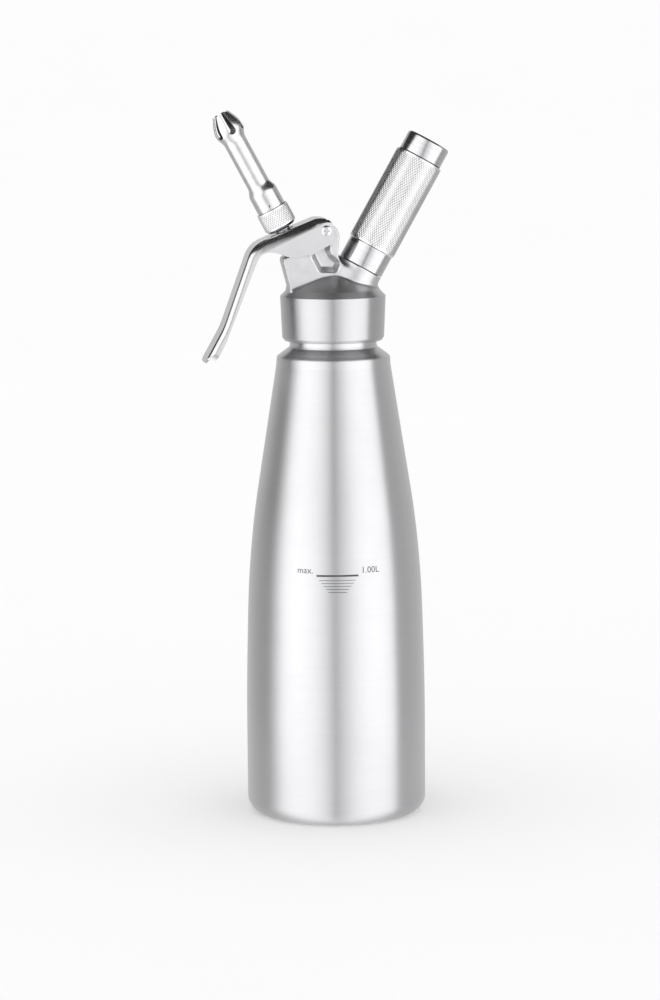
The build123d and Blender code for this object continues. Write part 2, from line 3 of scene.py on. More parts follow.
import cmath
import logging
import math
from collections.abc import Callable, Sequence
from dataclasses import dataclass
from enum import Enum

import bpy
import numpy as np
from mathutils import Euler, Matrix, Vector


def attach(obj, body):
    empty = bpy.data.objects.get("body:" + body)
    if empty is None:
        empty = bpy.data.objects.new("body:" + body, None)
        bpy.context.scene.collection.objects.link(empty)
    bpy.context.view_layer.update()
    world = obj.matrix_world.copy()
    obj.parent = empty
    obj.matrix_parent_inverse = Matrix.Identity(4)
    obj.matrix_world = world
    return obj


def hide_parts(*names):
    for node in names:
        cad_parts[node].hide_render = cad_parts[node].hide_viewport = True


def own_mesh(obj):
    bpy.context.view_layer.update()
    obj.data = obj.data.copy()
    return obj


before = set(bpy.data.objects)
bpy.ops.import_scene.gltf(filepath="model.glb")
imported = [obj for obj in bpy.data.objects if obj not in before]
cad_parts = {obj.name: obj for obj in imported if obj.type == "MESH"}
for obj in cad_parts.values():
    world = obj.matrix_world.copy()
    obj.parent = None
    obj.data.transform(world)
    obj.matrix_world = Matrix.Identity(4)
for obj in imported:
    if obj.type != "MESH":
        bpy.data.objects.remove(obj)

log = logging.getLogger("dispenser")

MM = 0.001
WRAP_LENGTH = 100.0
Point2 = tuple[float, float]
Outline = tuple[tuple[float, ...], ...]
Faces = list[tuple[int, ...]]
Solid = Callable[[np.ndarray], np.ndarray]


# ---------------------------------------------------------------- node trees


# The part of a noise texture's range that most of its values lie in
NOISE_MIDDLE = (0.3, 0.7)
# Size of a skin's coarse pattern against its fine one
COARSE_LINES = 0.12
COARSE_GRAIN = 0.06
# Which values of a noise texture show as smudges and as scratches, and how scratches are turned and stretched
SMUDGES = (0.4, 0.7)
SCRATCHES = (0.68, 0.76)
SCRATCH_TURNS = (0.5, -1.1)
SCRATCH_STRETCH = (25.0, 1500.0, 1500.0)
# Turn of the anisotropy for brush lines that run along U
ALONG_U = 0.25


def math_step(operation: str) -> Callable[["Value", object], "Value"]:
    """Returns the method of Value that adds a Math node with one operation."""
    return lambda value, other: value.nodes.math(operation, value, other)


class Value:
    """A socket that is reckoned with like a number, where each step adds a Math node."""

    __add__, __sub__, __mul__, __truediv__ = map(math_step, ("ADD", "SUBTRACT", "MULTIPLY", "DIVIDE"))
    __lt__, __gt__ = map(math_step, ("LESS_THAN", "GREATER_THAN"))

    def __init__(self, nodes: "Nodes", socket: bpy.types.NodeSocket) -> None:
        """Keeps the socket and the helper of its tree."""
        self.nodes, self.socket = nodes, socket

    def __rsub__(self, other: float) -> "Value":
        """Returns what is left of a number."""
        return self.nodes.math("SUBTRACT", other, self)


class Nodes:
    """Adds nodes to a shader or geometry tree and links them."""

    def __init__(self, tree: bpy.types.NodeTree) -> None:
        """Keeps the tree that the nodes go into."""
        self.tree = tree

    def link(self, value: object, socket: bpy.types.NodeSocket) -> None:
        """Gives an input socket a value, or links it to a socket.

        Args:
            value: A number, tuple, material, socket or Value.
            socket: The input socket.
        """
        value = value.socket if isinstance(value, Value) else value
        if isinstance(value, bpy.types.NodeSocket):
            self.tree.links.new(value, socket)
        else:
            socket.default_value = value

    def add(self, kind: str, inputs: dict | None = None, **settings: object) -> bpy.types.Node:
        """Adds one node.

        Args:
            kind: Blender's name of the node type.
            inputs: Values or sockets for its inputs, by name or index.
            settings: Properties of the node.

        Returns:
            The new node.
        """
        node = self.tree.nodes.new(kind)
        for key, value in settings.items():
            setattr(node, key, value)
        for key, value in (inputs or {}).items():
            self.link(value, node.inputs[key])
        return node

    def out(
        self, kind: str, inputs: dict | None = None, output: int | str = 0, **settings: object
    ) -> Value:
        """Adds one node as add() does, and returns one of its outputs."""
        return Value(self, self.add(kind, inputs, **settings).outputs[output])

    def math(self, operation: str, *values: object) -> Value:
        """Adds a Math node."""
        return self.out("ShaderNodeMath", dict(enumerate(values)), operation=operation)

    def remap(self, value: object, old: Point2, new: Point2 = (0.0, 1.0), smooth: bool = False) -> Value:
        """Maps a value from one range to another.

        Args:
            value: The socket to map.
            old: Range that comes in.
            new: Range that goes out.
            smooth: Whether the ends are eased.

        Returns:
            The mapped value.
        """
        kind = "SMOOTHSTEP" if smooth else "LINEAR"
        inputs = {0: value, 1: old[0], 2: old[1], 3: new[0], 4: new[1]}
        return self.out("ShaderNodeMapRange", inputs, interpolation_type=kind)

    def noise(self, vector: object, scale: object, detail: float = 3.0) -> Value:
        """Adds a noise texture."""
        inputs = {"Vector": vector, "Scale": scale, "Detail": detail, "Roughness": 0.6}
        return self.out("ShaderNodeTexNoise", inputs)

    def point(self, x: object, y: object, z: object) -> Value:
        """Puts three values together as a vector."""
        return self.out("ShaderNodeCombineXYZ", {0: x, 1: y, 2: z})

    def on_ring(self, radius: Value, angle: Value, height: Value) -> Value:
        """Returns the point at a radius, an angle and a height round Z."""
        return self.point(radius * self.math("COSINE", angle), radius * self.math("SINE", angle), height)

    def parts(self, vector: object) -> list[Value]:
        """Returns a vector's X, Y and Z."""
        return [Value(self, part) for part in self.add("ShaderNodeSeparateXYZ", {0: vector}).outputs]

    def dot(self, a: object, b: object) -> Value:
        """Returns the scalar product of two vectors."""
        return self.out("ShaderNodeVectorMath", {0: a, 1: b}, "Value", operation="DOT_PRODUCT")

    def group(self, name: str, inputs: dict) -> bpy.types.Node:
        """Adds one of the shader groups."""
        return self.add("ShaderNodeGroup", inputs, node_tree=GROUPS[name])

    def close(self, **results: Value) -> bpy.types.NodeTree:
        """Links a group's results to its outputs.

        Args:
            results: The results by the outputs' names.

        Returns:
            The tree.
        """
        end = self.add("NodeGroupOutput")
        for name, value in results.items():
            self.link(value, end.inputs[name])
        return self.tree

    def close_mesh(self, mesh: Value, material: Value) -> bpy.types.NodeTree:
        """Makes a geometry tree's mesh real, gives it its material and returns the tree."""
        real = self.out("GeometryNodeRealizeInstances", {0: mesh})
        return self.close(Geometry=self.out("GeometryNodeSetMaterial", {0: real, "Material": material}))


def new_group(name: str, inputs: dict[str, object], *outputs: str) -> tuple[Nodes, dict[str, Value]]:
    """Makes a node group with named sockets; one with an output named Geometry is a geometry tree.

    Args:
        name: The group's name.
        inputs: Default of each input, or the kind of a socket that has none, such as "Material".
        outputs: Names of the outputs, which are numbers unless they are named Color or Geometry.

    Returns:
        The tree's helper and its inputs by name.
    """
    tree = bpy.data.node_groups.new(name, "GeometryNodeTree" if "Geometry" in outputs else "ShaderNodeTree")
    kinds = {int: "Int", float: "Float", tuple: "Vector"}
    for label, value in inputs.items():
        kind = value if isinstance(value, str) else kinds[type(value)]
        socket = tree.interface.new_socket(name=label, in_out="INPUT", socket_type="NodeSocket" + kind)
        if kind != value:
            socket.default_value = value
    for label in outputs:
        kind = label if label in ("Color", "Geometry") else "Float"
        tree.interface.new_socket(name=label, in_out="OUTPUT", socket_type="NodeSocket" + kind)
    nodes = Nodes(tree)
    start = nodes.add("NodeGroupInput")
    return nodes, {label: Value(nodes, start.outputs[label]) for label in inputs}


def turning_lines() -> bpy.types.NodeTree:
    """Group for the fine lines that a lathe tool or a brush leaves round an axis, local Z.

    Returns:
        The tree.
    """
    inputs = {"Vector": "Vector", "Lines per metre": 5000.0, "Sweep": 25.0}
    nodes, start = new_group("turning_lines", inputs, "Height", "Streak")
    x, y, z = nodes.parts(start["Vector"])
    along = z - nodes.math("SQRT", x * x + y * y)
    x, y = x * start["Sweep"], y * start["Sweep"]
    heights = (along * (start["Lines per metre"] * share) for share in (1.0, COARSE_LINES))
    fine, coarse = (nodes.noise(nodes.point(x, y, height), 1.0, 4.0) for height in heights)
    return nodes.close(Height=fine, Streak=coarse)


def handling_marks() -> bpy.types.NodeTree:
    """Group for cloudy smudges and a few hair scratches from washing and use.

    Returns:
        The tree.
    """
    nodes, start = new_group("handling_marks", {"Vector": "Vector", "Scale": 35.0}, "Smudge", "Scratch")
    smudge = nodes.remap(nodes.noise(start["Vector"], start["Scale"], 4.0), SMUDGES)
    hairs = []
    for turn in SCRATCH_TURNS:
        across = {"Vector": start["Vector"], "Rotation": (turn, 0.4, turn), "Scale": SCRATCH_STRETCH}
        hairs.append(nodes.remap(nodes.noise(nodes.out("ShaderNodeMapping", across), 1.0, 2.0), SCRATCHES))
    return nodes.close(Smudge=smudge, Scratch=nodes.math("MAXIMUM", *hairs))


def cast_grain() -> bpy.types.NodeTree:
    """Group for the fine even pitting of a cast and bead-blasted skin.

    Returns:
        The tree.
    """
    nodes, start = new_group("cast_grain", {"Vector": "Vector", "Scale": 2200.0}, "Height", "Streak")
    fine = nodes.noise(start["Vector"], start["Scale"], 2.0)
    return nodes.close(Height=fine, Streak=nodes.noise(start["Vector"], start["Scale"] * COARSE_GRAIN, 3.0))


def valley_shade() -> bpy.types.NodeTree:
    """Group for painted shade: it darkens a colour in the bottoms of grooves and recesses, where a mesh's
    crest value is near nought.

    Returns:
        The tree.
    """
    inputs = {"Color": "Color", "Crest": 1.0, "Width": 0.45, "Darkness": 0.5}
    nodes, start = new_group("valley_shade", inputs, "Color")
    deep = 1.0 - nodes.math("MINIMUM", start["Crest"] / start["Width"], 1.0)
    shade = 1.0 - deep * start["Darkness"]
    tone = nodes.point(shade, shade, shade)
    shaded = nodes.out("ShaderNodeVectorMath", {0: start["Color"], 1: tone}, operation="MULTIPLY")
    return nodes.close(Color=shaded)


def rolled_edge() -> bpy.types.NodeTree:
    """Group for the shallow roll of a pressed sheet's sides next to its top, a line given by its normal.

    Returns:
        The tree.
    """
    inputs = {"Vector": "Vector", "Line": (0.0, 0.0, 1.0), "Top": 0.3, "Start": 0.0012, "Reach": 0.0042}
    inputs |= {"Spread": 0.06, "Drop": 0.0014, "Front": -0.002, "Back": -0.05, "Fade": 0.012}
    nodes, start = new_group("rolled_edge", inputs, "Height")
    far = nodes.parts(start["Vector"])[0]
    reach = start["Reach"] - far * start["Spread"]
    down = start["Top"] - nodes.dot(start["Vector"], start["Line"])
    share = (down - start["Start"]) / (reach - start["Start"])
    fall = nodes.remap(share, (0.0, 1.0), (1.0, 0.0), smooth=True) * start["Drop"]
    room = nodes.math("MINIMUM", start["Front"] - far, far - start["Back"])
    return nodes.close(Height=fall * nodes.remap(room / start["Fade"], (0.0, 1.0), (0.0, -1.0), smooth=True))


# ---------------------------------------------------------------- axes and finishes


@dataclass(frozen=True)
class Lean:
    """An axis in the plane Y = 0 that leans from the bottle's axis, in degrees towards +X."""

    name: str
    degrees: float
    foot: Point2 = (0.0, 0.0)

    def matrix(self) -> Matrix:
        """Returns the matrix from the axis's own frame in millimetres to the bottle's frame in metres."""
        turn = Matrix.Rotation(math.radians(self.degrees), 4, "Y")
        return Matrix.Translation(self.start()) @ turn @ Matrix.Scale(MM, 4)

    def start(self) -> Vector:
        """Returns the point where heights along the axis start, in metres."""
        return Vector((self.foot[0], 0, self.foot[1])) * MM

    def spread(self, at: np.ndarray) -> tuple[np.ndarray, np.ndarray]:
        """Measures where points are as seen from the axis.

        Args:
            at: X, Y and Z of the points in millimetres.

        Returns:
            Their distances from the axis and their heights along it.
        """
        lean = math.radians(self.degrees)
        dx, dz = at[0] - self.foot[0], at[2] - self.foot[1]
        away = np.hypot(dx * math.cos(lean) - dz * math.sin(lean), at[1])
        return away, dx * math.sin(lean) + dz * math.cos(lean)

    def euler(self) -> Euler:
        """Returns the axis's turn as Euler angles."""
        return Euler((0, math.radians(self.degrees), 0))


UPRIGHT = Lean("upright", 0.0)
VALVE_AXIS = Lean("valve", -28.1, (0.0, 275.5))
HOLDER_AXIS = Lean("holder", 29.3, (-1.1, 276.1))


class Grain(Enum):
    """The pattern that the making of a piece leaves on its skin."""

    TURNED = "turning_lines"
    CAST = "cast_grain"


MAKERS = (turning_lines, cast_grain, handling_marks, valley_shade, rolled_edge)
GROUPS = {maker.__name__: maker() for maker in MAKERS}
# The lever's straight top in the plane Y = 0: its normal, and its distance from the origin in metres
LEVER_TOP = ((-0.3718, 0.0, 0.9283), 0.31311)


@dataclass(frozen=True)
class Finish:
    """A procedural finish of one material on one piece."""

    name: str
    colour: tuple[float, float, float]
    roughness: float
    metal: float = 1.0
    grain: Grain = Grain.TURNED
    grain_scale: float = 5000.0
    relief: float = 0.00001
    unevenness: float = 0.06
    tint: float = 0.06
    anisotropy: float = 0.0
    sheen: float = 0.0
    # Strength of the painted shade in groove bottoms and recesses, where the crest attribute is low
    recess_shade: float = 0.0
    roll: float = 0.0

    def material(self, axis: Lean = UPRIGHT, uv: bool = False) -> bpy.types.Material:
        """Makes the material, with its pattern round an axis.

        Args:
            axis: The axis that turning lines run round.
            uv: Whether the mesh has a UV map whose U runs round the axis.

        Returns:
            The material.
        """
        name = f"{self.name}_{axis.name}" + ("_wrapped" if uv else "")
        made = bpy.data.materials.get(name)
        if made:
            return made
        made = bpy.data.materials.new(name)
        made.use_nodes = True
        made.node_tree.nodes.clear()
        nodes = Nodes(made.node_tree)
        place = nodes.out("ShaderNodeTexCoord", output="Object")
        turned = {"Vector": place, "Location": axis.start(), "Rotation": axis.euler()}
        own = nodes.out("ShaderNodeMapping", turned, vector_type="TEXTURE")
        skin = nodes.group(self.grain.value, {"Vector": own, 1: self.grain_scale}).outputs
        marks = nodes.group("handling_marks", {"Vector": own}).outputs
        streak = nodes.remap(skin["Streak"], NOISE_MIDDLE)
        tints = (1 - self.tint, 1 + self.tint)
        dark, light = (tuple(min(1.0, part * tint) for part in self.colour) + (1.0,) for tint in tints)
        colour = nodes.out("ShaderNodeMix", {0: streak, 6: dark, 7: light}, 2, data_type="RGBA")
        # Painted shade: the colour darkens in groove bottoms and recesses, where the crest attribute is low
        if self.recess_shade:
            crest = nodes.out("ShaderNodeAttribute", output="Fac", attribute_name="crest")
            shaded = {"Crest": crest, "Color": colour, "Darkness": self.recess_shade}
            colour = nodes.group("valley_shade", shaded).outputs[0]
        rough = self.roughness
        for wear in (marks["Smudge"], skin["Streak"], marks["Scratch"]):
            rough = nodes.math("MULTIPLY_ADD", wear, self.unevenness, rough)
        rise = {"Strength": 1.0, "Distance": self.relief, "Height": skin["Height"]}
        bump = nodes.out("ShaderNodeBump", rise)
        if self.roll:
            line, top = LEVER_TOP
            edge = nodes.group("rolled_edge", {"Vector": place, "Line": line, "Top": top, "Drop": self.roll})
            rise = {"Strength": 1.0, "Distance": 1.0, "Height": edge.outputs[0], "Normal": bump}
            bump = nodes.out("ShaderNodeBump", rise)
        looks = {"Base Color": colour, "Metallic": self.metal, "Roughness": rough, "Normal": bump}
        looks |= {"Sheen Weight": self.sheen, "Anisotropic": self.anisotropy}
        shader = nodes.add("ShaderNodeBsdfPrincipled", looks)
        if uv and self.anisotropy:
            along = nodes.out("ShaderNodeTangent", direction_type="UV_MAP", uv_map="wrap")
            nodes.link(along, shader.inputs["Tangent"])
            nodes.link(ALONG_U, shader.inputs["Anisotropic Rotation"])
        nodes.add("ShaderNodeOutputMaterial", {"Surface": shader.outputs[0]})
        return made


BRUSHED = {"anisotropy": 0.85, "grain_scale": 3500.0, "tint": 0.015, "unevenness": 0.03, "relief": 0.000005}
KNURLED = {"grain_scale": 900.0, "relief": 0.000005}
PRESSED = {"grain": Grain.CAST, "grain_scale": 600.0, "relief": 0.000004}
SOFT = {"metal": 0.0, "grain": Grain.CAST}

SATIN_STEEL = Finish("satin_steel", (0.6, 0.6, 0.61), 0.35, **BRUSHED)
CAP_STEEL = Finish("cap_steel", (0.53, 0.53, 0.54), 0.35, **BRUSHED)
TURNED_STEEL = Finish("turned_steel", (0.54, 0.54, 0.55), 0.15, anisotropy=0.5, grain_scale=6000.0)
# Both knurls carry painted shade in their groove bottoms
KNURLED_STEEL = Finish("knurled_steel", (0.72, 0.72, 0.73), 0.17, recess_shade=0.55, **KNURLED)
GRIP_STEEL = Finish("grip_steel", (0.82, 0.82, 0.83), 0.36, recess_shade=0.6, **KNURLED)
CAST_STEEL = Finish("cast_steel", (0.57, 0.57, 0.58), 0.32, grain=Grain.CAST, grain_scale=2200.0)
PRESSED_STEEL = Finish("pressed_steel", (0.58, 0.58, 0.59), 0.16, **PRESSED)
LEVER_STEEL = Finish("lever_steel", (0.58, 0.58, 0.59), 0.16, roll=0.0014, **PRESSED)
# The nozzle's mirror steel carries painted shade in its dimple
MIRROR_STEEL = Finish(
    "mirror_steel", (0.6, 0.6, 0.61), 0.24, grain_scale=2500.0, relief=0.000002, unevenness=0.03, recess_shade=0.93
)
# Dark steel for the nozzle's inside: painted shade for the hollow within the teeth
NOZZLE_INSIDE_SHADE = Finish("inside_shade_steel", (0.14, 0.14, 0.145), 0.4, grain_scale=2500.0)
WIRE_STEEL = Finish("wire_steel", (0.45, 0.45, 0.47), 0.28, grain=Grain.CAST)
CHARGER_STEEL = Finish("charger_steel", (0.55, 0.55, 0.56), 0.25, grain_scale=2500.0)
SILICONE = Finish("silicone", (0.6, 0.05, 0.04), 0.5, grain_scale=1500.0, sheen=0.1, unevenness=0.1, **SOFT)
RUBBER = Finish("rubber", (0.03, 0.03, 0.03), 0.55, grain_scale=1800.0, unevenness=0.1, **SOFT)
NYLON = Finish("nylon", (0.78, 0.77, 0.72), 0.4, grain_scale=1200.0, **SOFT)
INK = Finish("print_ink", (0.07, 0.07, 0.075), 0.45, grain_scale=3000.0, tint=0.2, **SOFT)


# ---------------------------------------------------------------- outlines and meshes


def rounded(points: list[tuple[float, ...]], steps: int = 4) -> list[Point2]:
    """Rounds the corners of an outline.

    Args:
        points: (x, y) or (x, y, radius) for each corner.
        steps: Pieces in each round.

    Returns:
        The outline's points with arcs in place of the corners that have a radius.
    """
    path: list[Point2] = []
    for i, (x, y, *radius) in enumerate(points):
        if not radius or i in (0, len(points) - 1):
            path.append((float(x), float(y)))
            continue
        here = complex(x, y)
        before, after = (complex(*points[k][:2]) - here for k in (i - 1, i + 1))
        before, after = before / abs(before), after / abs(after)
        half = abs(cmath.phase(after / before)) / 2
        middle = here + (before + after) / abs(before + after) * radius[0] / math.sin(half)
        first, last = (here + way * radius[0] / math.tan(half) - middle for way in (before, after))
        sweep = cmath.phase(last / first)
        arc = [middle + first * cmath.exp(1j * sweep * k / steps) for k in range(steps + 1)]
        path += [(spot.real, spot.imag) for spot in arc]
    return path


def bent(first: Point2, middle: Point2, last: Point2, steps: int = 6) -> list[Point2]:
    """Draws the arc through three points.

    Args:
        first: Where it starts.
        middle: A point on the way.
        last: Where it ends.
        steps: Pieces that it is cut into.

    Returns:
        The arc's points, with both ends.
    """
    a, b, c = (complex(*p) for p in (first, middle, last))
    w = (c - a) / (b - a)
    centre = (b - a) * (w - abs(w) ** 2) / (2j * w.imag) + a
    turn = cmath.phase((b - centre) / (a - centre)) + cmath.phase((c - centre) / (b - centre))
    path = [centre + (a - centre) * cmath.exp(1j * turn * k / steps) for k in range(steps + 1)]
    return [(p.real, p.imag) for p in path]


def eased(knots: Sequence[Point2], slopes: Sequence[float], heights: np.ndarray) -> np.ndarray:
    """Reads a smooth curve at given heights.

    Args:
        knots: (height, radius) points on the curve.
        slopes: The curve's slope at each knot.
        heights: Where it is read.

    Returns:
        The radius at each height.
    """
    z, r = np.array(knots).T
    m = np.array(slopes)
    i = np.clip(np.searchsorted(z, heights, side="right") - 1, 0, len(z) - 2)
    step = z[i + 1] - z[i]
    t = (heights - z[i]) / step
    low = (2 * t**3 - 3 * t**2 + 1) * r[i] + (t**3 - 2 * t**2 + t) * step * m[i]
    return low + (3 * t**2 - 2 * t**3) * r[i + 1] + (t**3 - t**2) * step * m[i + 1]


def placed(name: str, data: bpy.types.ID) -> bpy.types.Object:
    """Makes an object in the scene.

    Args:
        name: Its name.
        data: Its mesh, curve or camera.

    Returns:
        The object.
    """
    piece = bpy.data.objects.new(name, data)
    bpy.context.scene.collection.objects.link(piece)
    return piece


def baked(piece: bpy.types.Object) -> bpy.types.Mesh:
    """Returns the mesh that an object's curve or modifiers come to."""
    graph = bpy.context.evaluated_depsgraph_get()
    return bpy.data.meshes.new_from_object(piece.evaluated_get(graph))


def smoothed(mesh: bpy.types.Mesh, crease: float) -> None:
    """Shades a mesh smooth except at edges sharper than `crease` degrees."""
    mesh.shade_smooth()
    mesh.set_sharp_from_angle(angle=math.radians(crease))


def new_piece(
    name: str,
    vertices: np.ndarray,
    faces: Faces,
    place: Matrix,
    material: bpy.types.Material,
    wrap: np.ndarray | None = None,
    crease: float = 32.0,
) -> bpy.types.Object:
    """Makes an object from points in its own frame, with its place in its mesh.

    Args:
        name: The piece's name.
        vertices: Points, one row each.
        faces: Vertex numbers of each face.
        place: Matrix from the points' frame to the bottle's frame in metres.
        material: What it is made of.
        wrap: UV of each face corner, or None.
        crease: Edges sharper than this many degrees stay sharp.

    Returns:
        The object.
    """
    mesh = bpy.data.meshes.new(name)
    mesh.from_pydata(vertices.tolist(), [], faces)
    if wrap is not None:
        layer = mesh.uv_layers.new(name="wrap")
        layer.data.foreach_set("uv", wrap.astype(np.float32).ravel())
    mesh.transform(place)
    mesh.materials.append(material)
    smoothed(mesh, crease)
    mesh.validate()
    return placed(name, mesh)


def turned_piece(
    name: str,
    outline: list[Point2],
    axis: Lean,
    material: bpy.types.Material,
    closed: bool = True,
    sides: int = 128,
    crease: float = 32.0,
) -> bpy.types.Object:
    """Turns an outline round an axis into a closed piece.

    Args:
        name: The piece's name.
        outline: (radius, height) points in millimetres, outside going up.
        axis: The axis that it is turned round.
        material: What it is made of.
        closed: Whether the last point joins the first; an open outline ends on the axis.
        sides: Facets round the axis.
        crease: Edges sharper than this many degrees stay sharp.

    Returns:
        The object.
    """
    angles = np.arange(sides) * 2 * np.pi / sides
    rows: list[list[int]] = []
    points: list[tuple[float, float, float]] = []
    for radius, height in outline:
        count = len(points)
        if radius < 1e-6:
            rows.append([count] * sides)
            points.append((0.0, 0.0, height))
        else:
            rows.append(list(range(count, count + sides)))
            points += [(radius * math.cos(a), radius * math.sin(a), height) for a in angles]
    faces: Faces = []
    wrap: list[Point2] = []
    ways = [math.dist(a, b) for a, b in zip(outline, outline[1:] + outline[:1])]
    travelled = np.concatenate([[0.0], np.cumsum(ways)]) / WRAP_LENGTH
    for i in range(len(outline) if closed else len(outline) - 1):
        low, high = rows[i], rows[(i + 1) % len(rows)]
        for j in range(sides):
            k = (j + 1) % sides
            corners = [(low[j], j, i), (low[k], j + 1, i), (high[k], j + 1, i + 1), (high[j], j, i + 1)]
            if corners[0][0] == corners[1][0]:
                corners = [corners[0], corners[2], corners[3]]
            elif corners[2][0] == corners[3][0]:
                corners = corners[:3]
            faces.append(tuple(c[0] for c in corners))
            wrap.extend((c[1] / sides, travelled[c[2]]) for c in corners)
    return new_piece(name, np.array(points), faces, axis.matrix(), material, np.array(wrap), crease)


def grown_piece(
    name: str, tree: bpy.types.NodeTree, values: dict[str, object], axis: Lean, crease: float = 32.0
) -> bpy.types.Object:
    """Makes a plain mesh piece from a geometry tree.

    Args:
        name: The piece's name.
        tree: The geometry tree.
        values: Its inputs by name.
        axis: Where the tree's Z axis goes.
        crease: Edges sharper than this many degrees stay sharp.

    Returns:
        The object.
    """
    seed = placed(name + "_seed", bpy.data.meshes.new(name + "_seed"))
    maker = seed.modifiers.new("make", "NODES")
    maker.node_group = tree
    for item in tree.interface.items_tree:
        if item.in_out == "INPUT" and item.name in values:
            maker[item.identifier] = values[item.name]
    mesh = baked(seed)
    bpy.data.objects.remove(seed)
    mesh.name = name
    mesh.transform(axis.matrix())
    smoothed(mesh, crease)
    return placed(name, mesh)


def set_in(piece: bpy.types.Object, body: str, slot: str | None = None, *nodes: str) -> None:
    """Puts a finished piece on its body, hides the CAD nodes that it replaces and logs it.

    Args:
        piece: The object.
        body: The CAD body that it rides on.
        slot: Not used.
        nodes: CAD nodes that it replaces.
    """
    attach(piece, body)
    if nodes:
        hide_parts(*nodes)
    log.info("%s on %s, %d faces", piece.name, body, len(piece.data.polygons))


def threaded(name: str, body: str, slot: str, axis: Lean, sizes: Sequence[float]) -> None:
    """Makes the ridge of a screw thread.

    Args:
        name: The piece's name.
        body: The CAD body that it rides on.
        slot: The record's material slot.
        axis: The thread's axis.
        sizes: Radius, pitch, number of turns, radius of the ridge and where it starts.
    """
    values = dict(zip(("Radius", "Pitch", "Turns", "Ridge", "Bottom"), sizes))
    values["Material"] = TURNED_STEEL.material(axis)
    set_in(grown_piece(name, TREES["screw_thread"], values, axis), body, slot)


def knurled(name: str, body: str, node: str, axis: Lean, finish: Finish, sizes: dict[str, float]) -> None:
    """Makes a band of knurl that stands for a part of a turned node.

    Args:
        name: The piece's name.
        body: The CAD body that it rides on.
        node: The CAD node.
        axis: The band's axis.
        finish: How it looks.
        sizes: Inputs of the tree by name.
    """
    values = sizes | {"Material": finish.material(axis)}
    band = grown_piece(name, TREES["knurled_band"], values, axis, crease=20.0)
    set_in(band, body, "turned_steel", node)


# ---------------------------------------------------------------- geometry trees


def knurled_band() -> bpy.types.NodeTree:
    """Tree for a closed ring whose outside is cut into a diamond knurl of small pyramids.

    Returns:
        The tree.
    """
    inputs = {"Teeth": 84, "Rows": 54, "Crest Radius": 13.0, "Depth": 0.3, "Inner Radius": 12.0}
    inputs |= {"Bottom": 0.0, "Top": 10.0, "Bottom Slope": 0.0, "Material": "Material"}
    nodes, start = new_group("knurled_band", inputs, "Geometry")
    around, rows = start["Teeth"] * 2.0, start["Rows"] * 2.0
    grid = nodes.out("GeometryNodeMeshGrid", {0: 1.0, 1: 1.0, 2: around + 1.0, 3: rows + 4.0})
    x, y, _ = nodes.parts(nodes.out("GeometryNodeInputPosition"))
    column = nodes.math("ROUND", (x + 0.5) * around)
    # Steps 0 to 2 * Rows are the outside; the rows before and after lie inside, and the last closes the ring
    step = nodes.math("ROUND", (y + 0.5) * (rows + 3.0)) - 1.0
    odd = nodes.math("MODULO", column + (step + 2.0), 2.0)
    inside_ends = (step > 0.5) * (step < rows - 0.5)
    outer = start["Crest Radius"] - (1.0 - odd * inside_ends) * start["Depth"]
    back = nodes.math("MAXIMUM", step < -0.5, step > rows + 0.5)
    radius = outer * (1.0 - back) + back * start["Inner Radius"]
    share = nodes.math("MINIMUM", nodes.math("MAXIMUM", step, 0.0), rows) / rows * (step < rows + 1.5)
    foot = nodes.math("MAXIMUM", step < -0.5, step > rows + 1.5)
    height = share * (start["Top"] - start["Bottom"]) + start["Bottom"] - foot * start["Bottom Slope"]
    spot = nodes.on_ring(radius, column / around * (2 * math.pi), height)
    # Crest is 1 on the crests and at the band's ends and 0 in groove bottoms; the material paints shade where
    # it is low
    crest = {"Geometry": grid, "Name": "crest", "Value": 1.0 - inside_ends * (1.0 - odd)}
    marked = nodes.out("GeometryNodeStoreNamedAttribute", crest, data_type="FLOAT", domain="POINT")
    wrapped = nodes.out("GeometryNodeSetPosition", {0: marked, 2: spot})
    joined = nodes.out("GeometryNodeMergeByDistance", {0: wrapped, "Distance": 0.001})
    split = nodes.out("GeometryNodeTriangulate", {0: joined}, quad_method="SHORTEST_DIAGONAL")
    return nodes.close_mesh(split, start["Material"])


def screw_thread() -> bpy.types.NodeTree:
    """Tree for the rounded ridge of a right-hand screw thread round Z.

    Returns:
        The tree.
    """
    inputs = {"Radius": 5.0, "Pitch": 1.0, "Turns": 4.0, "Ridge": 0.3, "Bottom": 0.0, "Material": "Material"}
    nodes, start = new_group("screw_thread", inputs, "Geometry")
    path = {
        "Resolution": 48,
        "Rotations": start["Turns"],
        "Start Radius": start["Radius"],
        "End Radius": start["Radius"],
        "Height": start["Turns"] * start["Pitch"],
    }
    coil = nodes.out("GeometryNodeCurveSpiral", path)
    ridge = nodes.out("GeometryNodeCurvePrimitiveCircle", {"Resolution": 8, "Radius": start["Ridge"]})
    swept = nodes.out("GeometryNodeCurveToMesh", {"Curve": coil, "Profile Curve": ridge, "Fill Caps": True})
    lift = nodes.point(0.0, 0.0, start["Bottom"])
    lifted = nodes.out("GeometryNodeSetPosition", {0: swept, "Offset": lift})
    return nodes.close_mesh(lifted, start["Material"])


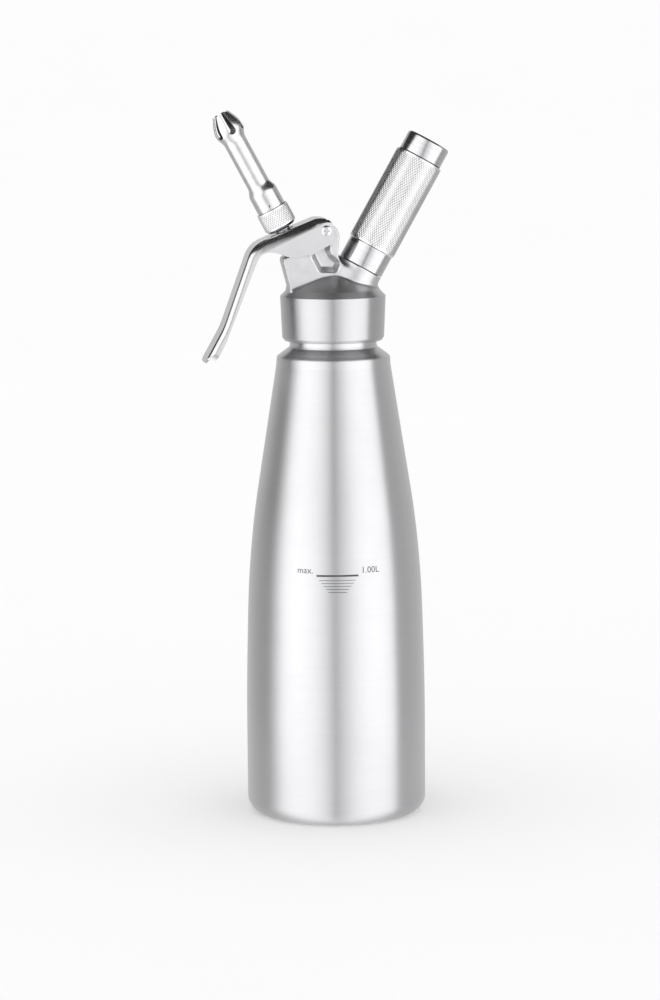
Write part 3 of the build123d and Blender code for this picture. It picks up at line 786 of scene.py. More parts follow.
def level_lines() -> bpy.types.NodeTree:
    """Tree for a stack of printed lines that get shorter downwards, wrapped round a cone.

    Returns:
        The tree.
    """
    inputs = {"Count": 5, "Length": 20.0, "Shortening": 2.0, "Spacing": 1.6, "Thickness": 0.4}
    inputs |= {"Top": 138.0, "Radius": 47.5, "Slope": -0.05, "Material": "Material"}
    nodes, start = new_group("level_lines", inputs, "Geometry")
    strip = nodes.out("GeometryNodeMeshGrid", {0: 1.0, 1: start["Thickness"], 2: 25, 3: 2})
    down = nodes.point(0.0, start["Spacing"] * -1.0, 0.0)
    spots = nodes.out("GeometryNodeMeshLine", {"Count": start["Count"], "Offset": down})
    length = start["Length"] - nodes.out("GeometryNodeInputIndex") * start["Shortening"]
    stack = {"Points": spots, "Instance": strip, "Scale": nodes.point(length, 1.0, 1.0)}
    flat = nodes.out("GeometryNodeRealizeInstances", {0: nodes.out("GeometryNodeInstanceOnPoints", stack)})
    x, y, _ = nodes.parts(nodes.out("GeometryNodeInputPosition"))
    radius = y * start["Slope"] + start["Radius"]
    spot = nodes.on_ring(radius, x / radius, y + start["Top"])
    wrapped = nodes.out("GeometryNodeSetPosition", {0: flat, 2: spot})
    return nodes.close_mesh(wrapped, start["Material"])


TREES = {maker.__name__: maker() for maker in (knurled_band, screw_thread, level_lines)}


# ---------------------------------------------------------------- blended solids


# How often a skin's points are pulled onto the surface, and how far from each the slope is read
SKIN_PULLS = 3
SKIN_PROBE = 0.02


class Shape:
    """Signed distances in millimetres, below nought inside, for solids that blend into each other."""

    @staticmethod
    def polygon(outline: list[Point2], x: np.ndarray, y: np.ndarray) -> np.ndarray:
        """Measures how far points are from a closed outline.

        Args:
            outline: The outline's corners.
            x: First coordinates of the points.
            y: Second coordinates.

        Returns:
            The distances, below nought inside.
        """
        nearest = np.full(x.shape, np.inf)
        inside = np.zeros(x.shape, bool)
        for (x0, y0), (x1, y1) in zip(outline, outline[1:] + outline[:1]):
            dx, dy = x1 - x0, y1 - y0
            t = np.clip(((x - x0) * dx + (y - y0) * dy) / (dx * dx + dy * dy), 0, 1)
            nearest = np.minimum(nearest, (x - x0 - t * dx) ** 2 + (y - y0 - t * dy) ** 2)
            if dy:
                inside ^= ((y0 > y) != (y1 > y)) & (x < x0 + (y - y0) * dx / dy)
        return np.where(inside, -1.0, 1.0) * np.sqrt(nearest)

    @staticmethod
    def slab(flat: np.ndarray, across: np.ndarray, half: float, edge: float) -> np.ndarray:
        """Gives a flat outline a thickness, with rounded edges.

        Args:
            flat: Distance to the outline.
            across: Distance from the slab's middle plane.
            half: Half the thickness.
            edge: Radius of the edges.

        Returns:
            The distance to the slab.
        """
        a, b = flat + edge, np.abs(across) - half + edge
        return np.minimum(np.maximum(a, b), 0) + np.hypot(np.maximum(a, 0), np.maximum(b, 0)) - edge

    @staticmethod
    def rod(away: np.ndarray, along: np.ndarray, radius: float, span: Point2, edge: float) -> np.ndarray:
        """Makes a round rod with rounded edges.

        Args:
            away: Distance from the rod's axis.
            along: Height along the axis.
            radius: The rod's radius.
            span: Heights of its ends.
            edge: Radius of the edges.

        Returns:
            The distance to the rod.
        """
        low, high = span
        return Shape.slab(away - radius, along - (low + high) / 2, (high - low) / 2, edge)

    @staticmethod
    def join(a: np.ndarray, b: np.ndarray, blend: np.ndarray | float) -> np.ndarray:
        """Joins two solids with a fillet about as large as `blend`."""
        near = np.maximum(blend - np.abs(a - b), 0) / blend
        return np.minimum(a, b) - near * near * blend / 4

    @staticmethod
    def cut(a: np.ndarray, b: np.ndarray, edge: float) -> np.ndarray:
        """Cuts solid b out of solid a with a rounded edge."""
        return -Shape.join(-a, b, edge)


def skinned(solid: Solid, room: Sequence[Sequence[float]], step: float) -> tuple[np.ndarray, Faces]:
    """Meshes a blended solid with quads whose corners lie on its surface.

    Args:
        solid: Function from X, Y and Z of points to signed distances.
        room: Lowest and highest corner of the room that it lies in.
        step: Grid size.

    Returns:
        The vertices and the faces.
    """
    axes = [np.arange(low, high + step, step) for low, high in zip(*room)]
    value = solid(np.array(np.meshgrid(*axes, indexing="ij")))
    cells = tuple(n - 1 for n in value.shape)
    total = np.zeros(cells + (3,))
    count = np.zeros(cells)
    crossings = []
    for axis in range(3):
        a = value.take(range(value.shape[axis] - 1), axis)
        b = value.take(range(1, value.shape[axis]), axis)
        crossed = (a < 0) != (b < 0)
        share = np.where(crossed, a / np.where(crossed, a - b, 1), 0)
        crossings.append((crossed, a < 0))
        others = [k for k in range(3) if k != axis]
        for shift in np.ndindex(2, 2):
            window = [slice(None)] * 3
            for k, first in zip(others, shift):
                window[k] = slice(first, first + cells[k])
            hit = crossed[tuple(window)]
            count += hit
            total[..., axis] += hit * share[tuple(window)]
            for k, first in zip(others, shift):
                total[..., k] += hit * first
    used = count > 0
    number = np.full(cells, -1)
    number[used] = np.arange(used.sum())
    points = (np.argwhere(used) + total[used] / count[used][:, None]) * step + np.array([a[0] for a in axes])
    faces = []
    unit = np.eye(3, dtype=int)
    for axis, (crossed, falling) in enumerate(crossings):
        u, v = (axis + 1) % 3, (axis + 2) % 3
        spots = np.argwhere(crossed)
        keep = (spots[:, u] > 0) & (spots[:, v] > 0) & (spots[:, u] < cells[u]) & (spots[:, v] < cells[v])
        spots = spots[keep]
        ring = [number[tuple((spots - s).T)] for s in (unit[u] + unit[v], unit[v], 0 * unit[u], unit[u])]
        quads = np.stack(ring, 1)
        outward = falling[tuple(spots.T)]
        quads[~outward] = quads[~outward][:, ::-1]
        faces.append(quads)
    for _ in range(SKIN_PULLS):
        here = solid(points.T)
        slope = np.stack([solid((points + SKIN_PROBE * way).T) - here for way in unit], 1) / SKIN_PROBE
        length = np.maximum((slope**2).sum(1), 0.1)
        points = points - np.clip(here / length, -step / 2, step / 2)[:, None] * slope
    return points, [tuple(q) for q in np.concatenate(faces).tolist()]


# ---------------------------------------------------------------- the bottle


@dataclass
class Bottle:
    """The pressure bottle, its weld at the neck and its printed fill mark."""

    body_radius: float = 50.0
    wall: float = 1.6
    corner: float = 9.0
    foot_inner: float = 37.5
    base_rise: float = 5.0
    cone_knots: Outline = ((52.0, 50.0), (96.0, 49.3), (138.0, 47.6), (181.3, 42.8))
    cone_slopes: tuple[float, ...] = (0.0, -0.028, -0.073, -0.157)
    cone_rows: int = 36
    shoulder: Outline = ((31.75, 251.5, 8.0), (31.4, 256.6, 2.0))
    neck_radius: float = 24.1
    neck_bore: float = 21.6
    neck_foot: float = 262.0
    neck_bottom: float = 262.6
    weld_foot: Outline = ((23.6, 258.2), (28.6, 258.3))
    weld_low: Point2 = (28.6, 258.72)
    weld_middle: Point2 = (24.8, 261.1)
    weld_high: Point2 = (24.12, 264.7)
    mark_height: float = 140.4
    mark_turn: float = -95.3
    mark_slope: float = -0.075
    mark_lift: float = 0.03
    mark_spacing: float = 1.63
    mark_shortening: float = 2.5
    # How many lines, their length, their thickness and how far they start below the mark's height
    mark_line: tuple[float, ...] = (1, 23.2, 1.0, 0.0)
    mark_fine_lines: tuple[float, ...] = (5, 20.2, 0.26, 2.5)
    # Name, text and middle along the line of each word
    mark_words: tuple[tuple[str, str, float], ...] = (
        ("mark_word", "max.", -18.1),
        ("mark_volume", "1.00L", 18.6),
    )
    letter_size: float = 4.9
    letter_rise: float = 1.2

    def side(self, height: np.ndarray) -> np.ndarray:
        """Returns the outer radius of the long cone at heights within its knots."""
        return eased(self.cone_knots, self.cone_slopes, height)

    def outline(self, inset: float) -> list[Point2]:
        """Draws the profile from the middle of the base to the neck.

        Args:
            inset: How far it lies inside the outer surface.

        Returns:
            (radius, height) points.
        """
        foot = self.foot_inner
        base = [(r, self.base_rise * (1 - (r / foot) ** 2) + inset) for r in np.linspace(0, foot, 12)]
        middle, reach = self.body_radius - self.corner, self.corner - inset
        turns = np.linspace(0, math.pi / 2, 12)
        corner = [(middle + reach * math.sin(a), self.corner - reach * math.cos(a)) for a in turns]
        heights = np.linspace(self.cone_knots[0][0], self.cone_knots[-1][0], self.cone_rows)
        cone = [(float(r) - inset, float(h)) for r, h in zip(self.side(heights), heights)]
        (radius, low, low_round), (top_radius, high, high_round) = self.shoulder
        bends = [(radius - inset, low, low_round), (top_radius - inset, high - inset, high_round)]
        crown = rounded([cone[-1]] + bends + [(self.neck_radius - inset, self.neck_foot - inset)], 6)
        return base + corner + cone + crown[1:]

    def build(self) -> None:
        """Makes the bottle's own pieces."""
        steel = SATIN_STEEL.material(UPRIGHT, uv=True)
        mouth = [(self.neck_radius, self.neck_bottom), (self.neck_bore, self.neck_bottom)]
        outline = self.outline(0.0) + mouth + self.outline(self.wall)[::-1]
        bottle = turned_piece("bottle", outline, UPRIGHT, steel, closed=False, sides=192)
        set_in(bottle, "bottle", "bottle_steel", "bottle_shell")
        bead = [*self.weld_foot, *bent(self.weld_low, self.weld_middle, self.weld_high, 16)]
        bead += [(self.weld_foot[0][0], self.weld_high[1])]
        weld = turned_piece("neck_weld", bead, UPRIGHT, steel, sides=160)
        set_in(weld, "bottle", "bottle_steel")
        self.mark()

    def mark(self) -> None:
        """Prints the fill mark: a thick line, a stack of fine lines under it and its two words."""
        ink = INK.material()
        radius = float(self.side(np.array([self.mark_height]))[0]) + self.mark_lift
        start = math.radians(self.mark_turn)
        shared = {"Slope": self.mark_slope, "Spacing": self.mark_spacing, "Shortening": self.mark_shortening}
        stacks = {"mark_line": self.mark_line, "mark_fine_lines": self.mark_fine_lines}
        for name, (count, length, thickness, drop) in stacks.items():
            values = shared | {"Count": count, "Length": length, "Thickness": thickness, "Material": ink}
            values |= {"Top": self.mark_height - drop, "Radius": radius - self.mark_slope * drop}
            lines = grown_piece(name, TREES["level_lines"], values, UPRIGHT)
            lines.data.transform(Matrix.Rotation(start, 4, "Z"))
            set_in(lines, "bottle")
        for name, text, offset in self.mark_words:
            curve = bpy.data.curves.new(name, "FONT")
            curve.body, curve.size, curve.align_x, curve.resolution_u = text, self.letter_size, "CENTER", 3
            writing = placed(name + "_curve", curve)
            mesh = baked(writing)
            bpy.data.objects.remove(writing)
            for vertex in mesh.vertices:
                rise = vertex.co.y + self.letter_rise
                reach = radius + self.mark_slope * rise
                angle = (vertex.co.x + offset) / radius + start
                spot = (reach * math.cos(angle), reach * math.sin(angle), self.mark_height + rise)
                vertex.co = Vector(spot) * MM
            mesh.materials.clear()
            mesh.materials.append(ink)
            set_in(placed(name, mesh), "bottle")


# ---------------------------------------------------------------- the head


@dataclass
class Head:
    """The screwed head: a turned cap and dome, and the casting that blends into it."""

    under: Outline = ((0.0, 300.7), (6.0, 300.3), (11.0, 298.8), (24.5, 291.6))
    skirt: Outline = (
        (26.0, 290.5),
        (26.0, 265.4, 0.3),
        (27.0, 265.4, 0.5),
        (28.25, 267.2, 0.6),
        (29.2, 290.0, 0.5),
    )
    crown: Outline = ((25.8, 293.4, 0.5), (11.0, 300.9, 12.0), (6.0, 302.3, 8.0), (0.0, 302.7))
    dome_sink: float = 0.04
    dome_foot: Outline = ((26.5, 288.0), (26.5, 291.5))
    dome_blend: Outline = ((18.0, 25.0), (1.2, 2.4))
    web_half: float = 10.0
    web_edge: float = 0.6
    web_front: Outline = ((-24.8, 290.5), (-24.8, 295.5), (-28.4, 309.4), (-27.98, 311.12), (-14.04, 318.56))
    web_arcs: tuple[Outline, ...] = (
        ((-8.7, 326.5), (-7.56, 329.26), (-4.8, 330.4)),
        ((-4.8, 330.4), (0.7, 328.0), (2.8, 323.0)),
        ((1.9, 313.8), (3.5, 308.7), (8.0, 305.0)),
    )
    web_back: Outline = ((14.0, 300.0), (14.0, 290.5))
    pocket: Outline = (
        (-10.4, 314.5),
        (-10.2, 312.6),
        (-6.9, 306.1),
        (-0.6, 306.0),
        (0.4, 308.3),
        (-3.2, 311.6),
        (-4.7, 314.6),
        (-5.0, 317.8),
        (-8.6, 317.8),
    )
    pocket_floor: float = 4.7
    pocket_draft: float = 26.0
    pocket_edge: float = 0.8
    boss_radius: float = 12.9
    boss_span: Point2 = (21.5, 33.8)
    boss_edge: float = 0.3
    boss_blend: float = 4.0
    boss_limit: Point2 = (26.6, 292.0)
    foot_middle: float = 13.6
    foot_radius: float = 11.3
    foot_span: Point2 = (286.5, 297.5)
    foot_blend: float = 1.0
    spigot_radius: float = 10.7
    spigot_span: Point2 = (27.0, 45.0)
    spigot_blend: float = 0.3
    edge: float = 0.5
    # Radius and both ends of each bore along its axis
    valve_bores: Outline = ((7.0, 18.0, math.inf), (7.5, -math.inf, 18.0))
    gas_bores: Outline = ((4.5, 0.0, 20.0), (1.2, 19.0, 33.0), (3.0, 33.0, 38.0), (5.2, 37.0, 60.0))
    valve_edge: float = 0.2
    gas_edge: float = 0.1
    spigot_thread: tuple[float, ...] = (10.62, 2.0, 4.5, 0.32, 35.2)
    casting_room: Outline = ((-31.0, -27.2, 287.0), (33.0, 27.2, 332.0))
    casting_step: float = 0.42
    pivot: Point2 = (-4.8, 326.5)
    screw_radius: float = 2.5
    screw_head: float = 2.9
    screw_face: float = -14.5
    screw_seat: float = -13.1
    screw_shaft: Point2 = (-13.5, 13.1)
    screw_dome: float = 5.1
    screw_room: float = 0.3
    screw_step: float = 0.14
    cross_reach: float = 1.8
    cross_half: float = 0.4
    cross_depth: float = 1.0
    cross_edge: float = 0.15

    def cap(self) -> None:
        """Makes the turned cap with its chamfer and dome."""
        outline = rounded([*self.under, *self.skirt, *self.crown], 6)
        steel = CAP_STEEL.material(UPRIGHT, uv=True)
        cap = turned_piece("cap", outline, UPRIGHT, steel, closed=False, sides=160, crease=24.0)
        set_in(cap, "head", "cast_steel", "head_casting")

    def web(self, at: np.ndarray) -> np.ndarray:
        """Measures how far points are from the valve block with the pivot arm.

        Args:
            at: X, Y and Z of the points in millimetres.

        Returns:
            The distances, below nought inside.
        """
        outline = list(self.web_front) + bent(*self.web_arcs[0]) + bent(*self.web_arcs[1])[1:]
        outline += bent(*self.web_arcs[2]) + list(self.web_back)
        return Shape.slab(Shape.polygon(outline, at[0], at[2]), at[1], self.web_half, self.web_edge)

    def hollow(self, at: np.ndarray) -> np.ndarray:
        """Measures how far points are from the drafted pockets in both sides of the web.

        Args:
            at: X, Y and Z of the points in millimetres.

        Returns:
            The distances, below nought inside.
        """
        deep, draft = np.abs(at[1]) - self.pocket_floor, math.radians(self.pocket_draft)
        sides = Shape.polygon(list(self.pocket), at[0], at[2])
        walls = (sides - deep * math.tan(draft)) * math.cos(draft)
        return -Shape.join(-walls, deep, self.pocket_edge)

    def casting_distance(self, at: np.ndarray) -> np.ndarray:
        """Measures how far points are from the casting above the cap.

        Args:
            at: X, Y and Z of the points in millimetres.

        Returns:
            The distances, below nought inside.
        """
        x, y, z = at
        r = np.hypot(x, y)
        half = list(self.dome_foot) + [(reach, height - self.dome_sink) for reach, height, *_ in self.crown]
        dome = Shape.polygon(half + [(-a, b) for a, b in half[-2::-1]], r, z)
        q, s = HOLDER_AXIS.spread(at)
        p, t = VALVE_AXIS.spread(at)
        boss = Shape.rod(q, s, self.boss_radius, self.boss_span, self.boss_edge)
        limit, limit_height = self.boss_limit
        boss = np.maximum(boss, np.where((x > 0) & (z > limit_height), r - limit, -self.boss_radius))
        body = Shape.join(self.web(at), boss, self.boss_blend)
        foot = Shape.rod(np.hypot(x - self.foot_middle, y), z, self.foot_radius, self.foot_span, self.edge)
        body = Shape.join(body, foot, self.foot_blend)
        body = Shape.join(body, dome, np.interp(r, *self.dome_blend))
        spigot = Shape.rod(q, s, self.spigot_radius, self.spigot_span, self.edge)
        body = Shape.join(body, spigot, self.spigot_blend)
        body = Shape.cut(body, self.hollow(at), self.pocket_edge)
        ways = ((p, t, self.valve_bores, self.valve_edge), (q, s, self.gas_bores, self.gas_edge))
        for away, along, bores, edge in ways:
            for bore, low, high in bores:
                body = Shape.cut(body, np.maximum(away - bore, np.maximum(low - along, along - high)), edge)
        px, pz = self.pivot
        return Shape.cut(body, np.hypot(x - px, z - pz) - self.screw_radius, self.valve_edge)

    def casting(self) -> None:
        """Makes the cast block, arm and charger boss with their fillets."""
        points, faces = skinned(self.casting_distance, self.casting_room, self.casting_step)
        casting = new_piece("casting", points, faces, UPRIGHT.matrix(), CAST_STEEL.material(), crease=50.0)
        set_in(casting, "head", "cast_steel", "head_casting")

    def screw_distance(self, at: np.ndarray) -> np.ndarray:
        """Measures how far points are from the pivot screw: a shaft and a domed head with a cross recess.

        Args:
            at: X, Y and Z of the points in millimetres.

        Returns:
            The distances, below nought inside.
        """
        x, y, z = at
        across, along = np.abs(z - self.pivot[1]), np.abs(x - self.pivot[0])
        r = np.hypot(along, across)
        dome = np.hypot(r, y - self.screw_face - self.screw_dome) - self.screw_dome
        head = np.maximum(dome, np.maximum(r - self.screw_head, y - self.screw_seat))
        near, far = self.screw_shaft
        shaft = np.maximum(r - self.screw_radius, np.maximum(near - y, y - far))
        ways = ((along, across), (across, along))
        bars = [np.maximum(a - self.cross_reach, b - self.cross_half) for a, b in ways]
        cross = np.maximum(np.minimum(*bars), y - self.screw_face - self.cross_depth)
        return np.minimum(Shape.cut(head, cross, self.cross_edge), shaft)

    def screw(self) -> None:
        """Makes the pivot screw."""
        (px, pz), room = self.pivot, self.screw_head + self.screw_room
        low = (px - room, self.screw_face - self.screw_room, pz - room)
        high = (px + room, self.screw_shaft[1] + self.screw_room, pz + room)
        points, faces = skinned(self.screw_distance, (low, high), self.screw_step)
        steel = PRESSED_STEEL.material()
        screw = new_piece("pivot_screw_domed", points, faces, UPRIGHT.matrix(), steel, crease=40.0)
        set_in(screw, "head", "turned_steel", "pivot_screw")

    def build(self) -> None:
        """Makes the head's own pieces."""
        self.cap()
        self.casting()
        self.screw()
        threaded("spigot_thread", "head", "cast_steel", HOLDER_AXIS, self.spigot_thread)


# ---------------------------------------------------------------- valve and nozzle


@dataclass
class Valve:
    """The knurled adapter on the valve stem, the stem's thread and the valve's spring."""

    bottom: float = 59.2
    top: float = 71.3
    radius: float = 9.2
    chamfer: float = 1.8
    grip: float = 0.35
    spigot_radius: float = 6.2
    spigot_top: float = 78.4
    bore: float = 2.6
    socket: Point2 = (4.0, 70.5)
    knurl_teeth: int = 40
    knurl_rows: int = 5
    knurl_depth: float = 0.17
    knurl_inner: float = 8.0
    knurl_top: float = 71.1
    stem_thread: tuple[float, ...] = (4.0, 0.8, 5.0, 0.3, 55.2)
    adapter_thread: tuple[float, ...] = (6.15, 1.5, 4.0, 0.3, 71.9)
    spring_low: float = 46.0
    spring_high: float = 53.05
    spring_radius: float = 5.9
    spring_turns: float = 3.0
    spring_sections: int = 97
    wire: float = 0.4
    wire_sides: int = 12
    travel: float = 3.0

    def build(self) -> None:
        """Makes the valve's own pieces."""
        low, reach = self.bottom + self.chamfer - self.grip, self.radius - self.grip
        spigot, spigot_top = self.spigot_radius, self.spigot_top
        foot = [(self.socket[0], self.bottom), (self.radius - self.chamfer, self.bottom, 0.2), (reach, low)]
        top = [(reach, self.top, 0.15), (spigot, self.top), (spigot, spigot_top, 0.3)]
        inside = [(self.bore, spigot_top), (self.bore, self.socket[1]), self.socket]
        steel = TURNED_STEEL.material(VALVE_AXIS, uv=True)
        adapter = turned_piece("adapter", rounded(foot + top + inside), VALVE_AXIS, steel, sides=96)
        set_in(adapter, "valve", "turned_steel", "decorator_adapter")
        sizes = {"Teeth": self.knurl_teeth, "Rows": self.knurl_rows, "Depth": self.knurl_depth}
        sizes |= {"Crest Radius": self.radius, "Inner Radius": self.knurl_inner}
        sizes |= {"Bottom": low, "Top": self.knurl_top}
        knurled("adapter_knurl", "valve", "decorator_adapter", VALVE_AXIS, GRIP_STEEL, sizes)
        threaded("stem_thread", "valve", "turned_steel", VALVE_AXIS, self.stem_thread)
        threaded("adapter_thread", "valve", "turned_steel", VALVE_AXIS, self.adapter_thread)
        self.spring()

    def spring(self) -> None:
        """Makes the spring, a coil of round wire between its low and high ends."""
        sides, sections = self.wire_sides, self.spring_sections
        share = np.linspace(0, 1, sections)[:, None]
        turn = share * self.spring_turns * 2 * math.pi
        around = np.linspace(0, 2 * math.pi, sides, endpoint=False)[None, :]
        reach = self.spring_radius + self.wire * np.cos(around)
        middle = self.spring_low + self.wire + share * (self.spring_high - self.spring_low - 2 * self.wire)
        height = middle + self.wire * np.sin(around)
        points = np.stack([reach * np.cos(turn), reach * np.sin(turn), height], -1).reshape(-1, 3)
        faces = []
        for low in range(0, (sections - 1) * sides, sides):
            ring = [(j, (j + 1) % sides) for j in range(sides)]
            faces += [(low + j, low + sides + j, low + sides + k, low + k) for j, k in ring]
        faces += [tuple(range(sides)), tuple(reversed(range((sections - 1) * sides, sections * sides)))]
        place = VALVE_AXIS.matrix()
        coil = new_piece("spring_coil", points, faces, place, WIRE_STEEL.material(VALVE_AXIS))
        set_in(coil, "head", "spring_steel", "valve_spring")
        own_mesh(coil)


@dataclass
class Nozzle:
    """The polished decorating nozzle with its crown of inward-bent teeth."""

    bottom: float = 71.4
    skirt: float = 8.1
    tube: float = 6.35
    bulge: Point2 = (119.9, 8.3)
    mouth: float = 4.7
    tip_slope: float = -0.5
    taper: Point2 = (81.0, 86.9)
    tube_top: float = 113.0
    wall: float = 0.9
    edge: float = 0.14
    teeth: int = 6
    first_slot: float = -84.0
    slot_bottom: float = 117.6
    slot_round: float = 2.2
    slot_top: float = 1.25
    tip: float = 130.2
    columns: int = 25
    # Stretches of rows below the slots: lowest, highest and how many
    row_spans: Outline = (
        (72.8, 74.6, 12),
        (75.6, 80.6, 4),
        (81.0, 86.9, 14),
        (88.5, 112.5, 8),
        (113.0, 117.25, 8),
    )
    slot_rows: int = 8
    crown_rows: int = 24
    crown_gap: float = 0.5
    dimple_height: float = 73.7
    dimple_turn: float = -97.0
    dimple_radius: float = 0.75
    dimple_depth: float = 0.45
    dimple_power: int = 6
    weld_distance: float = 0.02
    edge_angle: float = 55.0

    def outer(self, height: np.ndarray) -> np.ndarray:
        """Reads the outer radius along the nozzle.

        Args:
            height: Heights along the nozzle.

        Returns:
            The radius at each.
        """
        low, high = self.taper
        knots = [(self.bottom, self.skirt), (low, self.skirt), (high, self.tube), (self.tube_top, self.tube)]
        knots += [self.bulge, (self.tip, self.mouth)]
        return eased(knots, [0.0, 0.0, 0.0, 0.0, 0.0, self.tip_slope], height)

    def slot_half(self, height: float) -> float:
        """Reads half the width of the slots between the teeth.

        Args:
            height: Height along the nozzle.

        Returns:
            Half the width, or nought below the slots.
        """
        up = height - self.slot_bottom
        if up <= 0:
            return 0.0
        if up < self.slot_round:
            return math.sqrt(self.slot_round**2 - (self.slot_round - up) ** 2)
        length = self.tip + 1 - self.slot_bottom - self.slot_round
        return self.slot_round + (self.slot_top - self.slot_round) * (up - self.slot_round) / length

    def sunk(self, angle: float, height: float, radius: float) -> float:
        """Reads how deep the dimple in the skirt's front is.

        Args:
            angle: The place's angle round the axis.
            height: Its height along the nozzle.
            radius: The sheet's outer radius there.

        Returns:
            The depth, or nought outside the dimple.
        """
        aside = radius * (angle - math.radians(self.dimple_turn))
        share = math.hypot(aside, height - self.dimple_height) / self.dimple_radius
        return self.dimple_depth * max(0.0, 1.0 - share**self.dimple_power)

    def heights(self) -> np.ndarray:
        """Lays out the sheet's rows, close together where its form changes.

        Returns:
            The rows' heights.
        """
        rows = [np.linspace(*span) for span in self.row_spans]
        rise = self.slot_round * (1 - np.cos(np.linspace(0, np.pi / 2, self.slot_rows)))
        crown = np.linspace(self.slot_bottom + self.slot_round + self.crown_gap, self.tip, self.crown_rows)
        return np.concatenate([[self.bottom], *rows, self.slot_bottom + rise, crown])

    def sheet(self) -> bpy.types.Object:
        """Makes the outside, tooth by tooth, with its wrap and with how near the surface each point is.

        Returns:
            The sheet, still without thickness.
        """
        heights = self.heights()
        radii = self.outer(heights)
        sector = math.pi / self.teeth
        share = np.linspace(-1, 1, self.columns)
        points, faces, wrap, crest = [], [], [], []
        for tooth in range(self.teeth):
            first = len(points)
            middle = math.radians(self.first_slot) + 2 * sector * (tooth - 0.5)
            for radius, height in zip(radii, heights):
                half = sector - math.asin(self.slot_half(height) / radius)
                for angle in middle + half * share:
                    depth = self.sunk(angle, height, radius)
                    # Crest falls to nought at the dimple's bottom, where the material paints shade
                    crest.append(1.0 - depth / self.dimple_depth)
                    reach = radius - depth
                    points.append((reach * math.cos(angle), reach * math.sin(angle), height))
            for i in range(len(heights) - 1):
                v0, v1 = (heights[i : i + 2] - self.bottom) / WRAP_LENGTH
                for j in range(self.columns - 1):
                    a = first + i * self.columns + j
                    faces.append((a, a + 1, a + 1 + self.columns, a + self.columns))
                    u0, u1 = ((tooth + k / (self.columns - 1)) / self.teeth for k in (j, j + 1))
                    wrap += [(u0, v0), (u1, v0), (u1, v1), (u0, v1)]
        steel = MIRROR_STEEL.material(VALVE_AXIS)
        place, spots = VALVE_AXIS.matrix(), np.array(points)
        sheet = new_piece("nozzle_crowned", spots, faces, place, steel, np.array(wrap), crease=60.0)
        sheet.data.attributes.new("crest", "FLOAT", "POINT").data.foreach_set("value", crest)
        return sheet

    def build(self) -> None:
        """Makes the nozzle as one sheet with thickness and softened edges."""
        nozzle = self.sheet()
        # The inside of the sheet gets the dark steel that paints the shade within the nozzle
        nozzle.data.materials.append(NOZZLE_INSIDE_SHADE.material(VALVE_AXIS))
        nozzle.modifiers.new("weld", "WELD").merge_threshold = self.weld_distance * MM
        sheet = nozzle.modifiers.new("sheet", "SOLIDIFY")
        sheet.thickness, sheet.offset, sheet.use_even_offset = self.wall * MM, -1.0, True
        sheet.material_offset = 1
        edge = nozzle.modifiers.new("edge", "BEVEL")
        edge.width, edge.segments, edge.limit_method = self.edge * MM, 2, "ANGLE"
        edge.angle_limit = math.radians(self.edge_angle)
        mesh = baked(nozzle)
        nozzle.modifiers.clear()
        nozzle.data = mesh
        mesh.set_sharp_from_angle(angle=math.radians(50))
        set_in(nozzle, "nozzle", "polished_steel", "nozzle")


# ---------------------------------------------------------------- the charger holder


@dataclass
class Holder:
    """The gas charger's holder: a sleeve with a knurled grip between two plain bands."""

    bottom: float = 34.1
    top: float = 113.1
    radius: float = 12.9
    head_radius: float = 12.45
    mouth_radius: float = 11.0
    chamber: Outline = ((0.0, 105.9), (6.5, 105.9), (9.7, 102.5), (9.7, 47.0), (11.0, 46.2))
    knurl_bottom: float = 47.2
    knurl_top: float = 101.6
    knurl_crest: float = 13.65
    knurl_inner: float = 12.2
    knurl_teeth: int = 64
    knurl_rows: int = 24
    knurl_depth: float = 0.11
    knurl_slope: float = 1.2
    groove: Point2 = (0.3, 0.8)
    groove_depth: float = 0.4
    # Inner radius of the dark ring that paints the groove's shadow
    shadow_ring_inner: float = 11.8

    def build(self) -> None:
        """Makes the holder's sleeve, its knurl and a dark rubber ring in the groove over it, which paints the
        shadow in that gap.
        """
        low, high = (self.knurl_top + rise for rise in self.groove)
        mouth = [(self.mouth_radius, self.bottom + 0.3), (self.mouth_radius + 0.3, self.bottom)]
        side = [(self.radius, self.bottom, 0.3), (self.radius, self.knurl_bottom)]
        side += [(self.radius, self.knurl_top - 0.2), (self.radius, low, 0.1)]
        groove = [(self.head_radius - self.groove_depth, low), (self.head_radius - self.groove_depth, high)]
        head = [(self.head_radius, high, 0.1), (self.head_radius, self.top - 0.9, 0.3)]
        head += [(self.head_radius - 0.9, self.top, 0.3), (0.0, self.top)]
        outline = list(self.chamber) + rounded(mouth + side + groove + head)
        steel = TURNED_STEEL.material(HOLDER_AXIS, uv=True)
        sleeve = turned_piece("holder_sleeve", outline, HOLDER_AXIS, steel, closed=False, sides=128)
        set_in(sleeve, "holder", "turned_steel", "charger_holder")
        # A black ring fills the groove as a painted shadow of the gap between the knurl and the head
        low, high, reach = low + 0.02, high - 0.02, self.head_radius - 0.1
        ring = [(self.shadow_ring_inner, low), (reach, low), (reach, high), (self.shadow_ring_inner, high)]
        set_in(turned_piece("holder_groove_shadow", ring, HOLDER_AXIS, RUBBER.material()), "holder")
        sizes = {"Teeth": self.knurl_teeth, "Rows": self.knurl_rows, "Depth": self.knurl_depth}
        sizes |= {"Crest Radius": self.knurl_crest, "Inner Radius": self.knurl_inner}
        sizes |= {"Bottom": self.knurl_bottom - 0.3, "Top": self.knurl_top, "Bottom Slope": self.knurl_slope}
        knurled("holder_knurl", "holder", "charger_holder", HOLDER_AXIS, KNURLED_STEEL, sizes)


# ---------------------------------------------------------------- carried-over solids


@dataclass(frozen=True)
class Dressing:
    """A finish for CAD nodes that stay, and the axis of its turning lines."""

    finish: Finish
    nodes: tuple[str, ...]
    axis: Lean = UPRIGHT

    def apply(self) -> None:
        """Gives the nodes their material."""
        for name in self.nodes:
            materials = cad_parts[name].data.materials
            materials.clear()
            materials.append(self.finish.material(self.axis))


